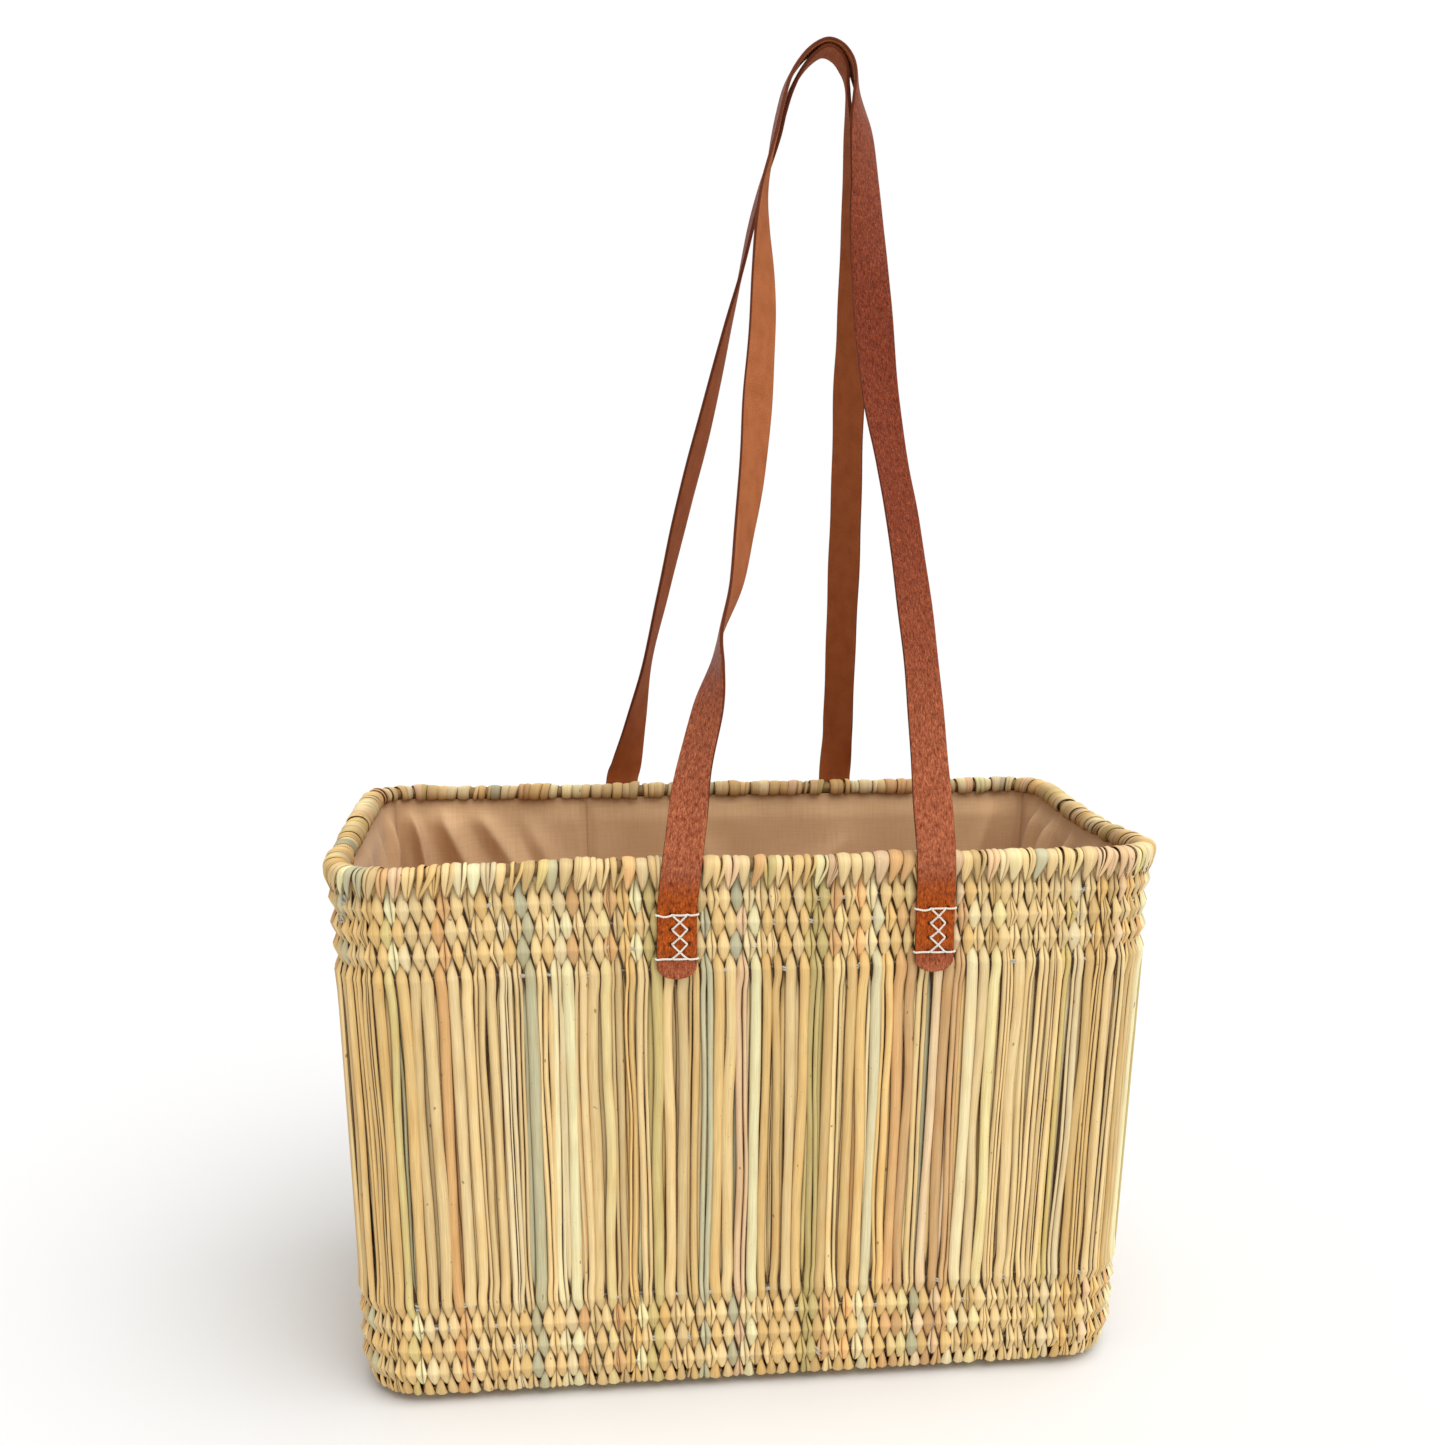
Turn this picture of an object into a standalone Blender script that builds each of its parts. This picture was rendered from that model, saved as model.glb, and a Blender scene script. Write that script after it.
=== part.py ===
"""Woven reed market basket with a cotton lining and two long leather handles.

Metres, +Z up. The origin is on the ground under the middle of the basket, X runs
along the long front wall and -Y points to the front. The walls lean out a little
towards the rim. The handles are drawn as they stand when they are held up: each
leather strap climbs from two sewn ends, twists a quarter turn in both legs, and the
two loops nest at the top, the front handle over the back one.
"""
import math

import bmesh
import bpy
from mathutils import Vector

# Driving dimensions: the reed body
BODY_HEIGHT = 0.287
RIM_HALF_LENGTH = 0.215
RIM_HALF_DEPTH = 0.1058
BASE_SCALE = 0.951
CORNER_RADIUS = 0.035
REED_PITCH = 0.0061
WALL_THICKNESS = 0.0042
REED_GROOVE = 0.0009
REED_TOP = 0.2735
CURL_HEIGHT = 0.0120
CURL_INSET = 0.0045
BASE_THICKNESS = 0.0050
BASE_EDGE_INSET = 0.0090

# Rim, cords and lining
RIM_DEPTH = 0.0110
RIM_PROUD = 0.0006
BINDING_THICKNESS = 0.0022
RIM_CORE_RADIUS = 0.0026
CORD_RADIUS = 0.0009
CORD_INSET = 0.0055
UPPER_CORD_HEIGHTS = (0.2300, 0.2423, 0.2546, 0.2669)
LOWER_CORD_HEIGHTS = (0.0187, 0.0310, 0.0433, 0.0556)
BASE_CORD_ROWS = (("front", -0.050), ("middle", 0.0), ("back", 0.050))
BASE_CORD_HALF_LENGTH = 0.175
LINING_INSET = 0.0069
LINING_THICKNESS = 0.0008
LINING_FLOOR = 0.0073
BACK_SEAM_X = -0.082

# Leather
STRAP_WIDTH = 0.020
STRAP_THICKNESS = 0.0022
STRAP_END_BOTTOM = 0.227
STRAP_END_TOP = 0.2617
STRAP_LOOP_START = 0.2625
STRAP_LEAN_HEIGHT = 0.290
APEX_HEIGHT = 0.7037
STRAP_STANDOFF = 0.0010

# Waxed thread that sews each strap end on
THREAD_SIZE = 0.0009
STITCH_ROW_PITCH = 0.0075
STITCH_TOP = 0.2600
STITCH_HALF_COLUMN = 0.0038
STITCH_SHIFT = 0.0013

GAP = 0.0003
CORNER_STEPS = 6
STATIONS_PER_SPAN = 4

# Middle of each strap, from its left end to its right end: across (x), up (z), and
# the bearing in degrees of the strap's width seen from above. The first and last
# points are at the fold above the sewn ends.
FRONT_ROUTE = (
    (-0.0413, STRAP_LOOP_START, 0), (-0.0392, 0.2840, 0), (-0.0364, 0.3050, -10),
    (-0.0328, 0.3300, -34), (-0.0252, 0.3600, -50), (-0.0205, 0.3805, -78),
    (-0.0175, 0.3980, -98), (-0.0095, 0.4220, -114), (-0.0046, 0.4490, -125),
    (0.0003, 0.4780, -134), (0.0045, 0.5150, -142), (0.0083, 0.5527, -138),
    (0.0097, 0.5800, -131), (0.0103, 0.6066, -115), (0.0122, 0.6280, -103),
    (0.0172, 0.6516, -92), (0.0210, 0.6684, -90), (0.0249, 0.6818, -90),
    (0.0305, 0.6920, -90), (0.0375, 0.6997, -90), (0.0458, APEX_HEIGHT, -90),
    (0.0537, 0.7010, -91), (0.0595, 0.6938, -94), (0.0621, 0.6840, -100),
    (0.0634, 0.6735, -115), (0.0645, 0.6577, -134), (0.0655, 0.6290, -150),
    (0.0655, 0.6056, -166), (0.0662, 0.5810, -184), (0.0673, 0.5466, -183),
    (0.0692, 0.5150, -170), (0.0734, 0.4820, -160), (0.0778, 0.4497, -158),
    (0.0835, 0.3863, -164), (0.0868, 0.3240, -176), (0.0889, 0.2860, -180),
    (0.0895, STRAP_LOOP_START, -180),
)
BACK_ROUTE = (
    (-0.0600, STRAP_LOOP_START, 180), (-0.0588, 0.2880, 181), (-0.0558, 0.3000, 196),
    (-0.0510, 0.3250, 226), (-0.0442, 0.3636, 253), (-0.0345, 0.4100, 248),
    (-0.0240, 0.4600, 242), (-0.0122, 0.5104, 243), (-0.0013, 0.5616, 256),
    (0.0048, 0.5890, 266), (0.0098, 0.6145, 271), (0.0150, 0.6350, 271),
    (0.0214, 0.6550, 270), (0.0243, 0.6680, 270), (0.0278, 0.6795, 270),
    (0.0327, 0.6893, 270), (0.0391, 0.6968, 270), (0.0458, 0.7006, 270),
    (0.0523, 0.6981, 269), (0.0567, 0.6918, 266), (0.0588, 0.6840, 260),
    (0.0600, 0.6735, 263), (0.0616, 0.6577, 272), (0.0642, 0.6336, 283),
    (0.0664, 0.6134, 296), (0.0682, 0.5898, 306), (0.0701, 0.5555, 315),
    (0.0710, 0.5228, 322), (0.0749, 0.4488, 324), (0.0778, 0.3694, 329),
    (0.0789, 0.3300, 325), (0.0792, 0.3120, 325), (0.0786, 0.2880, 358),
    (0.0785, STRAP_LOOP_START, 360),
)


def clear_scene():
    for item in list(bpy.data.objects):
        bpy.data.objects.remove(item, do_unlink=True)


def make_material(name, color, roughness):
    material = bpy.data.materials.new(name)
    material.use_nodes = True
    shader = material.node_tree.nodes["Principled BSDF"]
    shader.inputs["Base Color"].default_value = (*color, 1.0)
    shader.inputs["Roughness"].default_value = roughness
    shader.inputs["Metallic"].default_value = 0.0
    return material


def make_collections():
    parts = bpy.data.collections.new("woven_market_basket")
    cutters = bpy.data.collections.new("cutters")
    bpy.context.scene.collection.children.link(parts)
    bpy.context.scene.collection.children.link(cutters)
    return parts, cutters


def add_object(name, data, collection, material):
    item = bpy.data.objects.new(name, data)
    data.materials.append(material)
    collection.objects.link(item)
    return item


def add_mesh(name, shape, collection, material):
    """Turn a bmesh into a named object with its faces pointing out."""
    bmesh.ops.recalc_face_normals(shape, faces=shape.faces)
    mesh = bpy.data.meshes.new(name)
    shape.to_mesh(mesh)
    shape.free()
    mesh.shade_smooth()
    mesh.set_sharp_from_angle(angle=math.radians(35))
    return add_object(name, mesh, collection, material)


# The body: plan outlines

def body_scale(height):
    """How large the plan is at a height, against the plan at the rim."""
    return BASE_SCALE + (1.0 - BASE_SCALE) * height / BODY_HEIGHT


def half_sizes(height):
    scale = body_scale(height)
    return RIM_HALF_LENGTH * scale, RIM_HALF_DEPTH * scale


def corner_arc(center_x, center_y, radius, start, sweep, steps):
    points = []
    for step in range(steps + 1):
        angle = math.radians(start + sweep * step / steps)
        points.append((center_x + radius * math.cos(angle), center_y + radius * math.sin(angle)))
    return points


def ring_outline(height, inset):
    """The whole rounded plan at a height, moved in by inset."""
    half_x, half_y = half_sizes(height)
    points = []
    for quarter, (side_x, side_y) in enumerate(((1, -1), (1, 1), (-1, 1), (-1, -1))):
        center_x = side_x * (half_x - CORNER_RADIUS)
        center_y = side_y * (half_y - CORNER_RADIUS)
        points += corner_arc(center_x, center_y, CORNER_RADIUS - inset, 90 * quarter - 90, 90, CORNER_STEPS)
    return [Vector((x, y, height)) for x, y in points]


def side_length(quarter):
    """Length of one wall, from corner middle to corner middle, at half height."""
    half_x, half_y = half_sizes(BODY_HEIGHT / 2)
    half_run = half_x if quarter % 2 == 0 else half_y
    return 2 * (half_run - CORNER_RADIUS) + CORNER_RADIUS * math.pi / 2


def side_point(quarter, share, height, inset):
    """A point on one wall. Walls count from the front, turning to the right.

    share runs from 0 to 1 along the wall, from the middle of one corner's arc to the
    middle of the next, so that the same share gives the same reed at each height.
    """
    half_x, half_y = half_sizes(height)
    run, depth = (half_x, half_y) if quarter % 2 == 0 else (half_y, half_x)
    arc_share = CORNER_RADIUS * math.pi / 4 / side_length(quarter)
    radius = CORNER_RADIUS - inset
    if share < arc_share:
        angle = math.radians(225 + 45 * share / arc_share)
        x = -(run - CORNER_RADIUS) + radius * math.cos(angle)
        y = -(depth - CORNER_RADIUS) + radius * math.sin(angle)
    elif share > 1 - arc_share:
        angle = math.radians(315 - 45 * (1 - share) / arc_share)
        x = run - CORNER_RADIUS + radius * math.cos(angle)
        y = -(depth - CORNER_RADIUS) + radius * math.sin(angle)
    else:
        along = (share - arc_share) / (1 - 2 * arc_share)
        x = (2 * along - 1) * (run - CORNER_RADIUS)
        y = -(depth - inset)
    turn = math.pi / 2 * quarter
    return Vector((x * math.cos(turn) - y * math.sin(turn), x * math.sin(turn) + y * math.cos(turn), height))


def straight_share(quarter, local_x):
    """The share at which a wall's own x coordinate is reached, on its flat stretch."""
    half_x, half_y = half_sizes(BODY_HEIGHT)
    run = half_x if quarter % 2 == 0 else half_y
    arc_share = CORNER_RADIUS * math.pi / 4 / side_length(quarter)
    along = (local_x / (run - CORNER_RADIUS) + 1) / 2
    return arc_share + along * (1 - 2 * arc_share)


def smooth_shares(quarter, first, last):
    """Few shares, enough to follow the corner arcs between first and last."""
    arc_share = CORNER_RADIUS * math.pi / 4 / side_length(quarter)
    steps = CORNER_STEPS // 2
    inner = [arc_share * step / steps for step in range(steps + 1)]
    inner += [1 - share for share in reversed(inner)]
    return [first] + [share for share in inner if first + 0.001 < share < last - 0.001] + [last]


# Lofts

def loft_levels(loops):
    """A closed solid through flat outlines of the same count, one above the other."""
    shape = bmesh.new()
    rows = [[shape.verts.new(point) for point in loop] for loop in loops]
    count = len(rows[0])
    for lower, upper in zip(rows, rows[1:]):
        for index in range(count):
            after = (index + 1) % count
            shape.faces.new((lower[index], lower[after], upper[after], upper[index]))
    shape.faces.new(rows[0])
    shape.faces.new(rows[-1])
    return shape


def loft_ring(profile):
    """A closed hoop round the body, from a closed profile of (inset, height)."""
    shape = bmesh.new()
    rows = [[shape.verts.new(point) for point in ring_outline(height, inset)] for inset, height in profile]
    count = len(rows[0])
    for row, following in zip(rows, rows[1:] + rows[:1]):
        for index in range(count):
            after = (index + 1) % count
            shape.faces.new((row[index], row[after], following[after], following[index]))
    return shape


# The reed body

def wall_loop(quarter, height, extra_inset):
    """Outline of one reed wall: a groove between neighbouring reeds, flat inside."""
    length = side_length(quarter)
    reeds = round(length / REED_PITCH)
    margin = 2 * GAP / 3 / length
    loop = []
    for step in range(2 * reeds + 1):
        share = margin + (1 - 2 * margin) * step / (2 * reeds)
        groove = REED_GROOVE if step % 2 == 0 else 0.0
        loop.append(side_point(quarter, share, height, groove + extra_inset))
    inner = smooth_shares(quarter, margin, 1 - margin)
    loop += [side_point(quarter, share, height, WALL_THICKNESS + extra_inset) for share in reversed(inner)]
    return loop


def add_reed_walls(collection, material):
    for quarter, side in enumerate(("front", "right", "back", "left")):
        loops = [wall_loop(quarter, BASE_THICKNESS + GAP, CURL_INSET),
                 wall_loop(quarter, CURL_HEIGHT, 0.0),
                 wall_loop(quarter, REED_TOP, 0.0)]
        add_mesh("reeds_" + side, loft_levels(loops), collection, material)


def add_base(collection, reed, cord):
    loops = [ring_outline(0.0, BASE_EDGE_INSET),
             ring_outline(BASE_THICKNESS / 2, (BASE_EDGE_INSET + CURL_INSET) / 2),
             ring_outline(BASE_THICKNESS, CURL_INSET + GAP)]
    add_mesh("base_reeds", loft_levels(loops), collection, reed)
    height = BASE_THICKNESS + GAP + CORD_RADIUS
    for name, y in BASE_CORD_ROWS:
        ends = [Vector((-BASE_CORD_HALF_LENGTH, y, height)), Vector((BASE_CORD_HALF_LENGTH, y, height))]
        add_tube("base_cord_" + name, ends, CORD_RADIUS, False, collection, cord)


def add_rim_binding(collection, material):
    """Reed ends folded over the rim core: a channel that is open below."""
    outer, inner = -RIM_PROUD, RIM_DEPTH - RIM_PROUD
    low, high = REED_TOP + 2 * GAP, BODY_HEIGHT
    edge = BINDING_THICKNESS / 2
    profile = [(outer, low), (outer, high - edge), (outer + edge, high), (inner - edge, high),
               (inner, high - edge), (inner, low), (inner - BINDING_THICKNESS, low),
               (inner - BINDING_THICKNESS, high - BINDING_THICKNESS),
               (outer + BINDING_THICKNESS, high - BINDING_THICKNESS),
               (outer + BINDING_THICKNESS, low)]
    add_mesh("rim_binding", loft_ring(profile), collection, material)


# Tubes

def add_tube(name, points, radius, closed, collection, material):
    curve = bpy.data.curves.new(name, "CURVE")
    curve.dimensions = "3D"
    curve.bevel_depth = radius
    curve.bevel_resolution = 2
    curve.use_fill_caps = not closed
    spline = curve.splines.new("POLY")
    spline.points.add(len(points) - 1)
    for target, point in zip(spline.points, points):
        target.co = (*point, 1.0)
    spline.use_cyclic_u = closed
    return add_object(name, curve, collection, material)


def add_cords(collection, material):
    """Hoops of twine that hold the reeds, just behind the walls."""
    for band, heights in (("lower", LOWER_CORD_HEIGHTS), ("upper", UPPER_CORD_HEIGHTS)):
        for number, height in enumerate(heights, start=1):
            name = "{}_cord_{}".format(band, number)
            add_tube(name, ring_outline(height, CORD_INSET), CORD_RADIUS, True, collection, material)


def add_rim_core(collection, material):
    height = BODY_HEIGHT - BINDING_THICKNESS - 2 * GAP - RIM_CORE_RADIUS
    inset = RIM_DEPTH / 2 - RIM_PROUD
    add_tube("rim_core", ring_outline(height, inset), RIM_CORE_RADIUS, True, collection, material)


# The lining

def lining_loop(quarter, first, last, height):
    extra = CURL_INSET * max(0.0, 1 - height / CURL_HEIGHT)
    shares = smooth_shares(quarter, first, last)
    near, far = LINING_INSET + extra, LINING_INSET + LINING_THICKNESS + extra
    loop = [side_point(quarter, share, height, near) for share in shares]
    return loop + [side_point(quarter, share, height, far) for share in reversed(shares)]


def add_lining(collection, material):
    """Six panels of cotton: four walls, the back one sewn from two, and the floor."""
    margin = GAP / side_length(1)
    seam = straight_share(2, -BACK_SEAM_X)
    panels = (("front", 0, margin, 1 - margin), ("right", 1, margin, 1 - margin),
              ("back_right", 2, margin, seam - margin), ("back_left", 2, seam + margin, 1 - margin),
              ("left", 3, margin, 1 - margin))
    low = LINING_FLOOR + GAP
    for name, quarter, first, last in panels:
        loops = [lining_loop(quarter, first, last, height) for height in (low, CURL_HEIGHT, REED_TOP)]
        add_mesh("lining_" + name, loft_levels(loops), collection, material)
    inset = LINING_INSET + LINING_THICKNESS + CURL_INSET
    floor = [ring_outline(height, inset) for height in (LINING_FLOOR, LINING_FLOOR + LINING_THICKNESS)]
    add_mesh("lining_base", loft_levels(floor), collection, material)


# The leather handles

def strap_wall_distance():
    """Distance from the middle plane to the middle of a sewn strap end."""
    return half_sizes(STITCH_TOP)[1] + GAP + STRAP_THICKNESS / 2


def strap_lean(height):
    """Distance from the middle plane to a raised strap at a height."""
    sewn = strap_wall_distance()
    over_rim = half_sizes(BODY_HEIGHT)[1] + RIM_PROUD + STRAP_STANDOFF + STRAP_THICKNESS / 2
    if height < STRAP_LEAN_HEIGHT:
        rise = (height - STRAP_LOOP_START) / (STRAP_LEAN_HEIGHT - STRAP_LOOP_START)
        return sewn + (over_rim - sewn) * math.sin(min(1.0, 1.6 * rise) * math.pi / 2)
    share = (height - STRAP_LEAN_HEIGHT) / (APEX_HEIGHT - STRAP_LEAN_HEIGHT)
    eased = 0.65 * share + 0.35 * share * share * (3 - 2 * share)
    return over_rim * (1 - eased)


def smooth_between(before, start, end, after, share):
    """Catmull-Rom interpolation of four equal-length tuples."""
    values = []
    for a, b, c, d in zip(before, start, end, after):
        cubic = -a + 3 * b - 3 * c + d
        square = 2 * a - 5 * b + 4 * c - d
        values.append(0.5 * (2 * b + (c - a) * share + square * share ** 2 + cubic * share ** 3))
    return values


def strap_stations(route, side):
    """Points and width directions along a strap; side is -1 in front and 1 behind."""
    stations = []
    last = len(route) - 1
    for index in range(last):
        window = [route[min(max(index + offset, 0), last)] for offset in (-1, 0, 1, 2)]
        steps = STATIONS_PER_SPAN + (1 if index == last - 1 else 0)
        for step in range(steps):
            x, z, bearing = smooth_between(*window, step / STATIONS_PER_SPAN)
            angle = math.radians(bearing)
            place = Vector((x, side * strap_lean(z), z))
            stations.append((place, Vector((math.cos(angle), math.sin(angle), 0.0))))
    return stations


def add_strap(name, route, side, collection, material):
    """A strip three points wide that follows the route, thickened by Solidify."""
    stations = strap_stations(route, side)
    shape = bmesh.new()
    bmesh.ops.create_grid(shape, x_segments=len(stations) - 1, y_segments=2, size=0.5)
    shape.verts.ensure_lookup_table()
    for vertex in shape.verts:
        index = round((vertex.co.x + 0.5) * (len(stations) - 1))
        across = vertex.co.y
        place, width = stations[index]
        ahead = stations[min(index + 1, len(stations) - 1)][0]
        behind = stations[max(index - 1, 0)][0]
        if index in (0, len(stations) - 1):
            tangent = Vector((0.0, 0.0, 1.0))
        else:
            tangent = (ahead - behind).normalized()
        flat = (width - tangent * width.dot(tangent)).normalized()
        vertex.co = place + flat * across * STRAP_WIDTH
    strap = add_mesh(name, shape, collection, material)
    solid = strap.modifiers.new("leather", "SOLIDIFY")
    solid.thickness = STRAP_THICKNESS
    solid.offset = 0.0
    solid.use_even_offset = False
    return strap


def strap_end_positions():
    """Name, middle x, and side of the four sewn ends."""
    return (("front_left", FRONT_ROUTE[0][0], -1), ("front_right", FRONT_ROUTE[-1][0], -1),
            ("back_left", BACK_ROUTE[0][0], 1), ("back_right", BACK_ROUTE[-1][0], 1))


def add_strap_end(name, middle_x, side, collection, material):
    """A flat strap end with a round bottom, standing against the wall."""
    radius = STRAP_WIDTH / 2
    steps = 12
    center = STRAP_END_BOTTOM + radius
    outline = [(radius, STRAP_END_TOP - center), (-radius, STRAP_END_TOP - center)]
    outline += corner_arc(0.0, 0.0, radius, 180, 180, steps)
    curve = bpy.data.curves.new(name, "CURVE")
    curve.dimensions = "2D"
    curve.fill_mode = "BOTH"
    curve.extrude = STRAP_THICKNESS / 2
    spline = curve.splines.new("POLY")
    spline.points.add(len(outline) - 1)
    for target, (x, y) in zip(spline.points, outline):
        target.co = (x, y, 0.0, 1.0)
    spline.use_cyclic_u = True
    end = add_object(name, curve, collection, material)
    end.rotation_euler = (math.pi / 2, 0.0, 0.0)
    end.location = (middle_x, side * strap_wall_distance(), center)


def add_bar(start, end, y, collection):
    """A square bar of thread between two points (x, z)."""
    run = Vector((end[0] - start[0], 0.0, end[1] - start[1]))
    shape = bmesh.new()
    bmesh.ops.create_cube(shape, size=1.0)
    size = (run.length + THREAD_SIZE, THREAD_SIZE, THREAD_SIZE)
    bmesh.ops.scale(shape, vec=size, verts=shape.verts)
    mesh = bpy.data.meshes.new("thread_bar")
    shape.to_mesh(mesh)
    shape.free()
    bar = bpy.data.objects.new("thread_bar", mesh)
    collection.objects.link(bar)
    bar.location = ((start[0] + end[0]) / 2, y, (start[1] + end[1]) / 2)
    bar.rotation_euler = (0.0, -math.atan2(run.z, run.x), 0.0)
    return bar


def add_thread(name, middle_x, side, parts, cutters, material):
    """The visible sewing of one strap end: three crosses between two lines."""
    face = strap_wall_distance() + STRAP_THICKNESS / 2
    y = side * (face + GAP + THREAD_SIZE / 2)
    left = middle_x + STITCH_SHIFT - STITCH_HALF_COLUMN
    right = middle_x + STITCH_SHIFT + STITCH_HALF_COLUMN
    heights = [STITCH_TOP - STITCH_ROW_PITCH * row for row in range(4)]
    edge = STRAP_WIDTH / 2 - THREAD_SIZE
    lines = [((middle_x - edge, height), (middle_x + edge, height)) for height in (heights[0], heights[-1])]
    for upper, lower in zip(heights, heights[1:]):
        lines.append(((left, upper), (right, lower)))
        lines.append(((left, lower), (right, upper)))
    base = add_bar(*lines[0], y, parts)
    base.name = name
    base.data.materials.append(material)
    for start, end in lines[2:] + lines[1:2]:
        bar = add_bar(start, end, y, cutters)
        bar.hide_render = True
        bar.display_type = "WIRE"
        union = base.modifiers.new("stitch", "BOOLEAN")
        union.operation = "UNION"
        union.solver = "EXACT"
        union.object = bar


def main():
    clear_scene()
    parts, cutters = make_collections()
    reed = make_material("reed", (0.62, 0.44, 0.20), 0.6)
    twine = make_material("twine", (0.60, 0.55, 0.45), 0.85)
    cotton = make_material("cotton_lining", (0.42, 0.28, 0.15), 0.9)
    leather = make_material("leather", (0.30, 0.09, 0.03), 0.45)
    thread = make_material("waxed_thread", (0.80, 0.74, 0.62), 0.6)
    add_reed_walls(parts, reed)
    add_base(parts, reed, twine)
    add_cords(parts, twine)
    add_rim_core(parts, reed)
    add_rim_binding(parts, reed)
    add_lining(parts, cotton)
    add_strap("front_handle_strap", FRONT_ROUTE, -1, parts, leather)
    add_strap("back_handle_strap", BACK_ROUTE, 1, parts, leather)
    for place, middle_x, side in strap_end_positions():
        add_strap_end("strap_end_" + place, middle_x, side, parts, leather)
        add_thread("thread_" + place, middle_x, side, parts, cutters, thread)


main()
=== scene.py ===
"""Looks of the woven market basket: plain-woven reeds on twine, a rim of folded reed
ends, a cotton lining and two sewn leather handles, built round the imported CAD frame.

Metres, +Z up, -Y is the front. Most pieces are drawn on an unrolled wall: s runs along
the wall, t up its profile and b out of it, and wall_map() puts them in space. The walls
are numbered from the front to the right: 0 front, 1 right, 2 back, 3 left.
"""
import math

import bpy
import numpy as np
from mathutils import Matrix, Vector


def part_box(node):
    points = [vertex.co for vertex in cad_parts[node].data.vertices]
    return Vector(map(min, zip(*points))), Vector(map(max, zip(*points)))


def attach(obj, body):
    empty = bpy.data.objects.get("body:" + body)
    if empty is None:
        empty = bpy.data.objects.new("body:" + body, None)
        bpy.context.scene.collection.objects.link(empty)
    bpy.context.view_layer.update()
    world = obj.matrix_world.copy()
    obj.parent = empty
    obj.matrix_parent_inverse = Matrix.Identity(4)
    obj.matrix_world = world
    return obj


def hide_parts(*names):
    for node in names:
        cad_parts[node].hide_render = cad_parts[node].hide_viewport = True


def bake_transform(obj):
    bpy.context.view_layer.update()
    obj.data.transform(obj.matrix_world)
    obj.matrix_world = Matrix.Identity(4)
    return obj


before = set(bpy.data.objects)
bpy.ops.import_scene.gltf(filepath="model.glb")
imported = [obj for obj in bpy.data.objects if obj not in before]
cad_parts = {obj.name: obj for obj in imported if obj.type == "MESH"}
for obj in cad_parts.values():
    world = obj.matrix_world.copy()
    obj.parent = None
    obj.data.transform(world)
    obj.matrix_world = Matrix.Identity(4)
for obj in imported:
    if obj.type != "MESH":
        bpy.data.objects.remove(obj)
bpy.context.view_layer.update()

MM = 0.001
TURN = 2 * math.pi

# The body, as in the CAD part
RIM_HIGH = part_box("rim_binding")[1]
BODY_HEIGHT = RIM_HIGH.z
RIM_PROUD = 0.0006
RIM_HALF_LENGTH = RIM_HIGH.x - RIM_PROUD
RIM_HALF_DEPTH = RIM_HIGH.y - RIM_PROUD
BASE_SCALE = 0.951
CORNER_RADIUS = 0.035
REED_PITCH = 0.0061
LINING_INSET = 0.0073
BACK_SEAM_X = -0.082


def cord_height(node):
    low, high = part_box(node)
    return (low.z + high.z) / 2


UPPER_ROWS = [cord_height("upper_cord_{}".format(n)) for n in (1, 2, 3, 4)]
LOWER_ROWS = [cord_height("lower_cord_{}".format(n)) for n in (1, 2, 3, 4)]
ROW_PITCH = UPPER_ROWS[1] - UPPER_ROWS[0]
CURL_ROWS = [LOWER_ROWS[0] - 2 * ROW_PITCH, LOWER_ROWS[0] - ROW_PITCH]
RIM_ROW = UPPER_ROWS[3] + ROW_PITCH
ALL_ROWS = np.array(CURL_ROWS + LOWER_ROWS + UPPER_ROWS + [RIM_ROW])

# The rows where each of the two families of reeds runs in front. Between the bands,
# family 1 stands out as the staves.
OVER_ROWS = (
    [CURL_ROWS[0], LOWER_ROWS[0], LOWER_ROWS[2], UPPER_ROWS[1], UPPER_ROWS[3]],
    [CURL_ROWS[1], LOWER_ROWS[1], LOWER_ROWS[3], UPPER_ROWS[0], UPPER_ROWS[2], RIM_ROW],
)

# The weave
MID_INSET = 3.5 * MM
CURL_RADIUS = 11.0 * MM
CURL_LIFT = 4.0 * MM
WAVE = 2.05 * MM
STRAND_LOW = -0.0125
STRAND_HIGH = 0.2835
FLOAT_HALF_WIDTH = 3.40 * MM
FLOAT_LEAN = 0.28 * MM
STAVE_HALF_WIDTHS = (2.2, 2.75)
TOP_ARCH = 1.45 * MM
RIM_LEVELS = (-0.50, -0.1)
STAVE_LEVELS = (-0.50, 0.50)
STAVE_START = 14 * MM

# How far the rim stands off level: up at the corners, down in three sags
CORNER_RISE = 1.0 * MM
BACK_CORNER_RISE = 1.2 * MM
FRONT_LEFT_SAG = 3.6 * MM
FRONT_DIP = 0.9 * MM
RIGHT_SAG = 4.2 * MM
RIM_WANDER = 0.28 * MM

# The leather, as in the CAD part
STRAP_HALF_WIDTH = 0.010
STRAP_THICKNESS = 0.0022
TAB_ROUND = 0.0068
STRAP_LOOP_START = 0.2625
STRAP_LEAN_HEIGHT = 0.290
STRAP_STANDOFF = 0.0010
APEX_HEIGHT = 0.7037
STITCH_TOP = 0.2600
STITCH_ROW_PITCH = 0.0075
STITCH_HALF_COLUMN = 0.0038
STITCH_SHIFT = 0.0013
HOLE_OFFSET, HOLE_RADIUS, HOLE_DEPTH = 0.60 * MM, 1.35 * MM, 0.9 * MM

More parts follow.
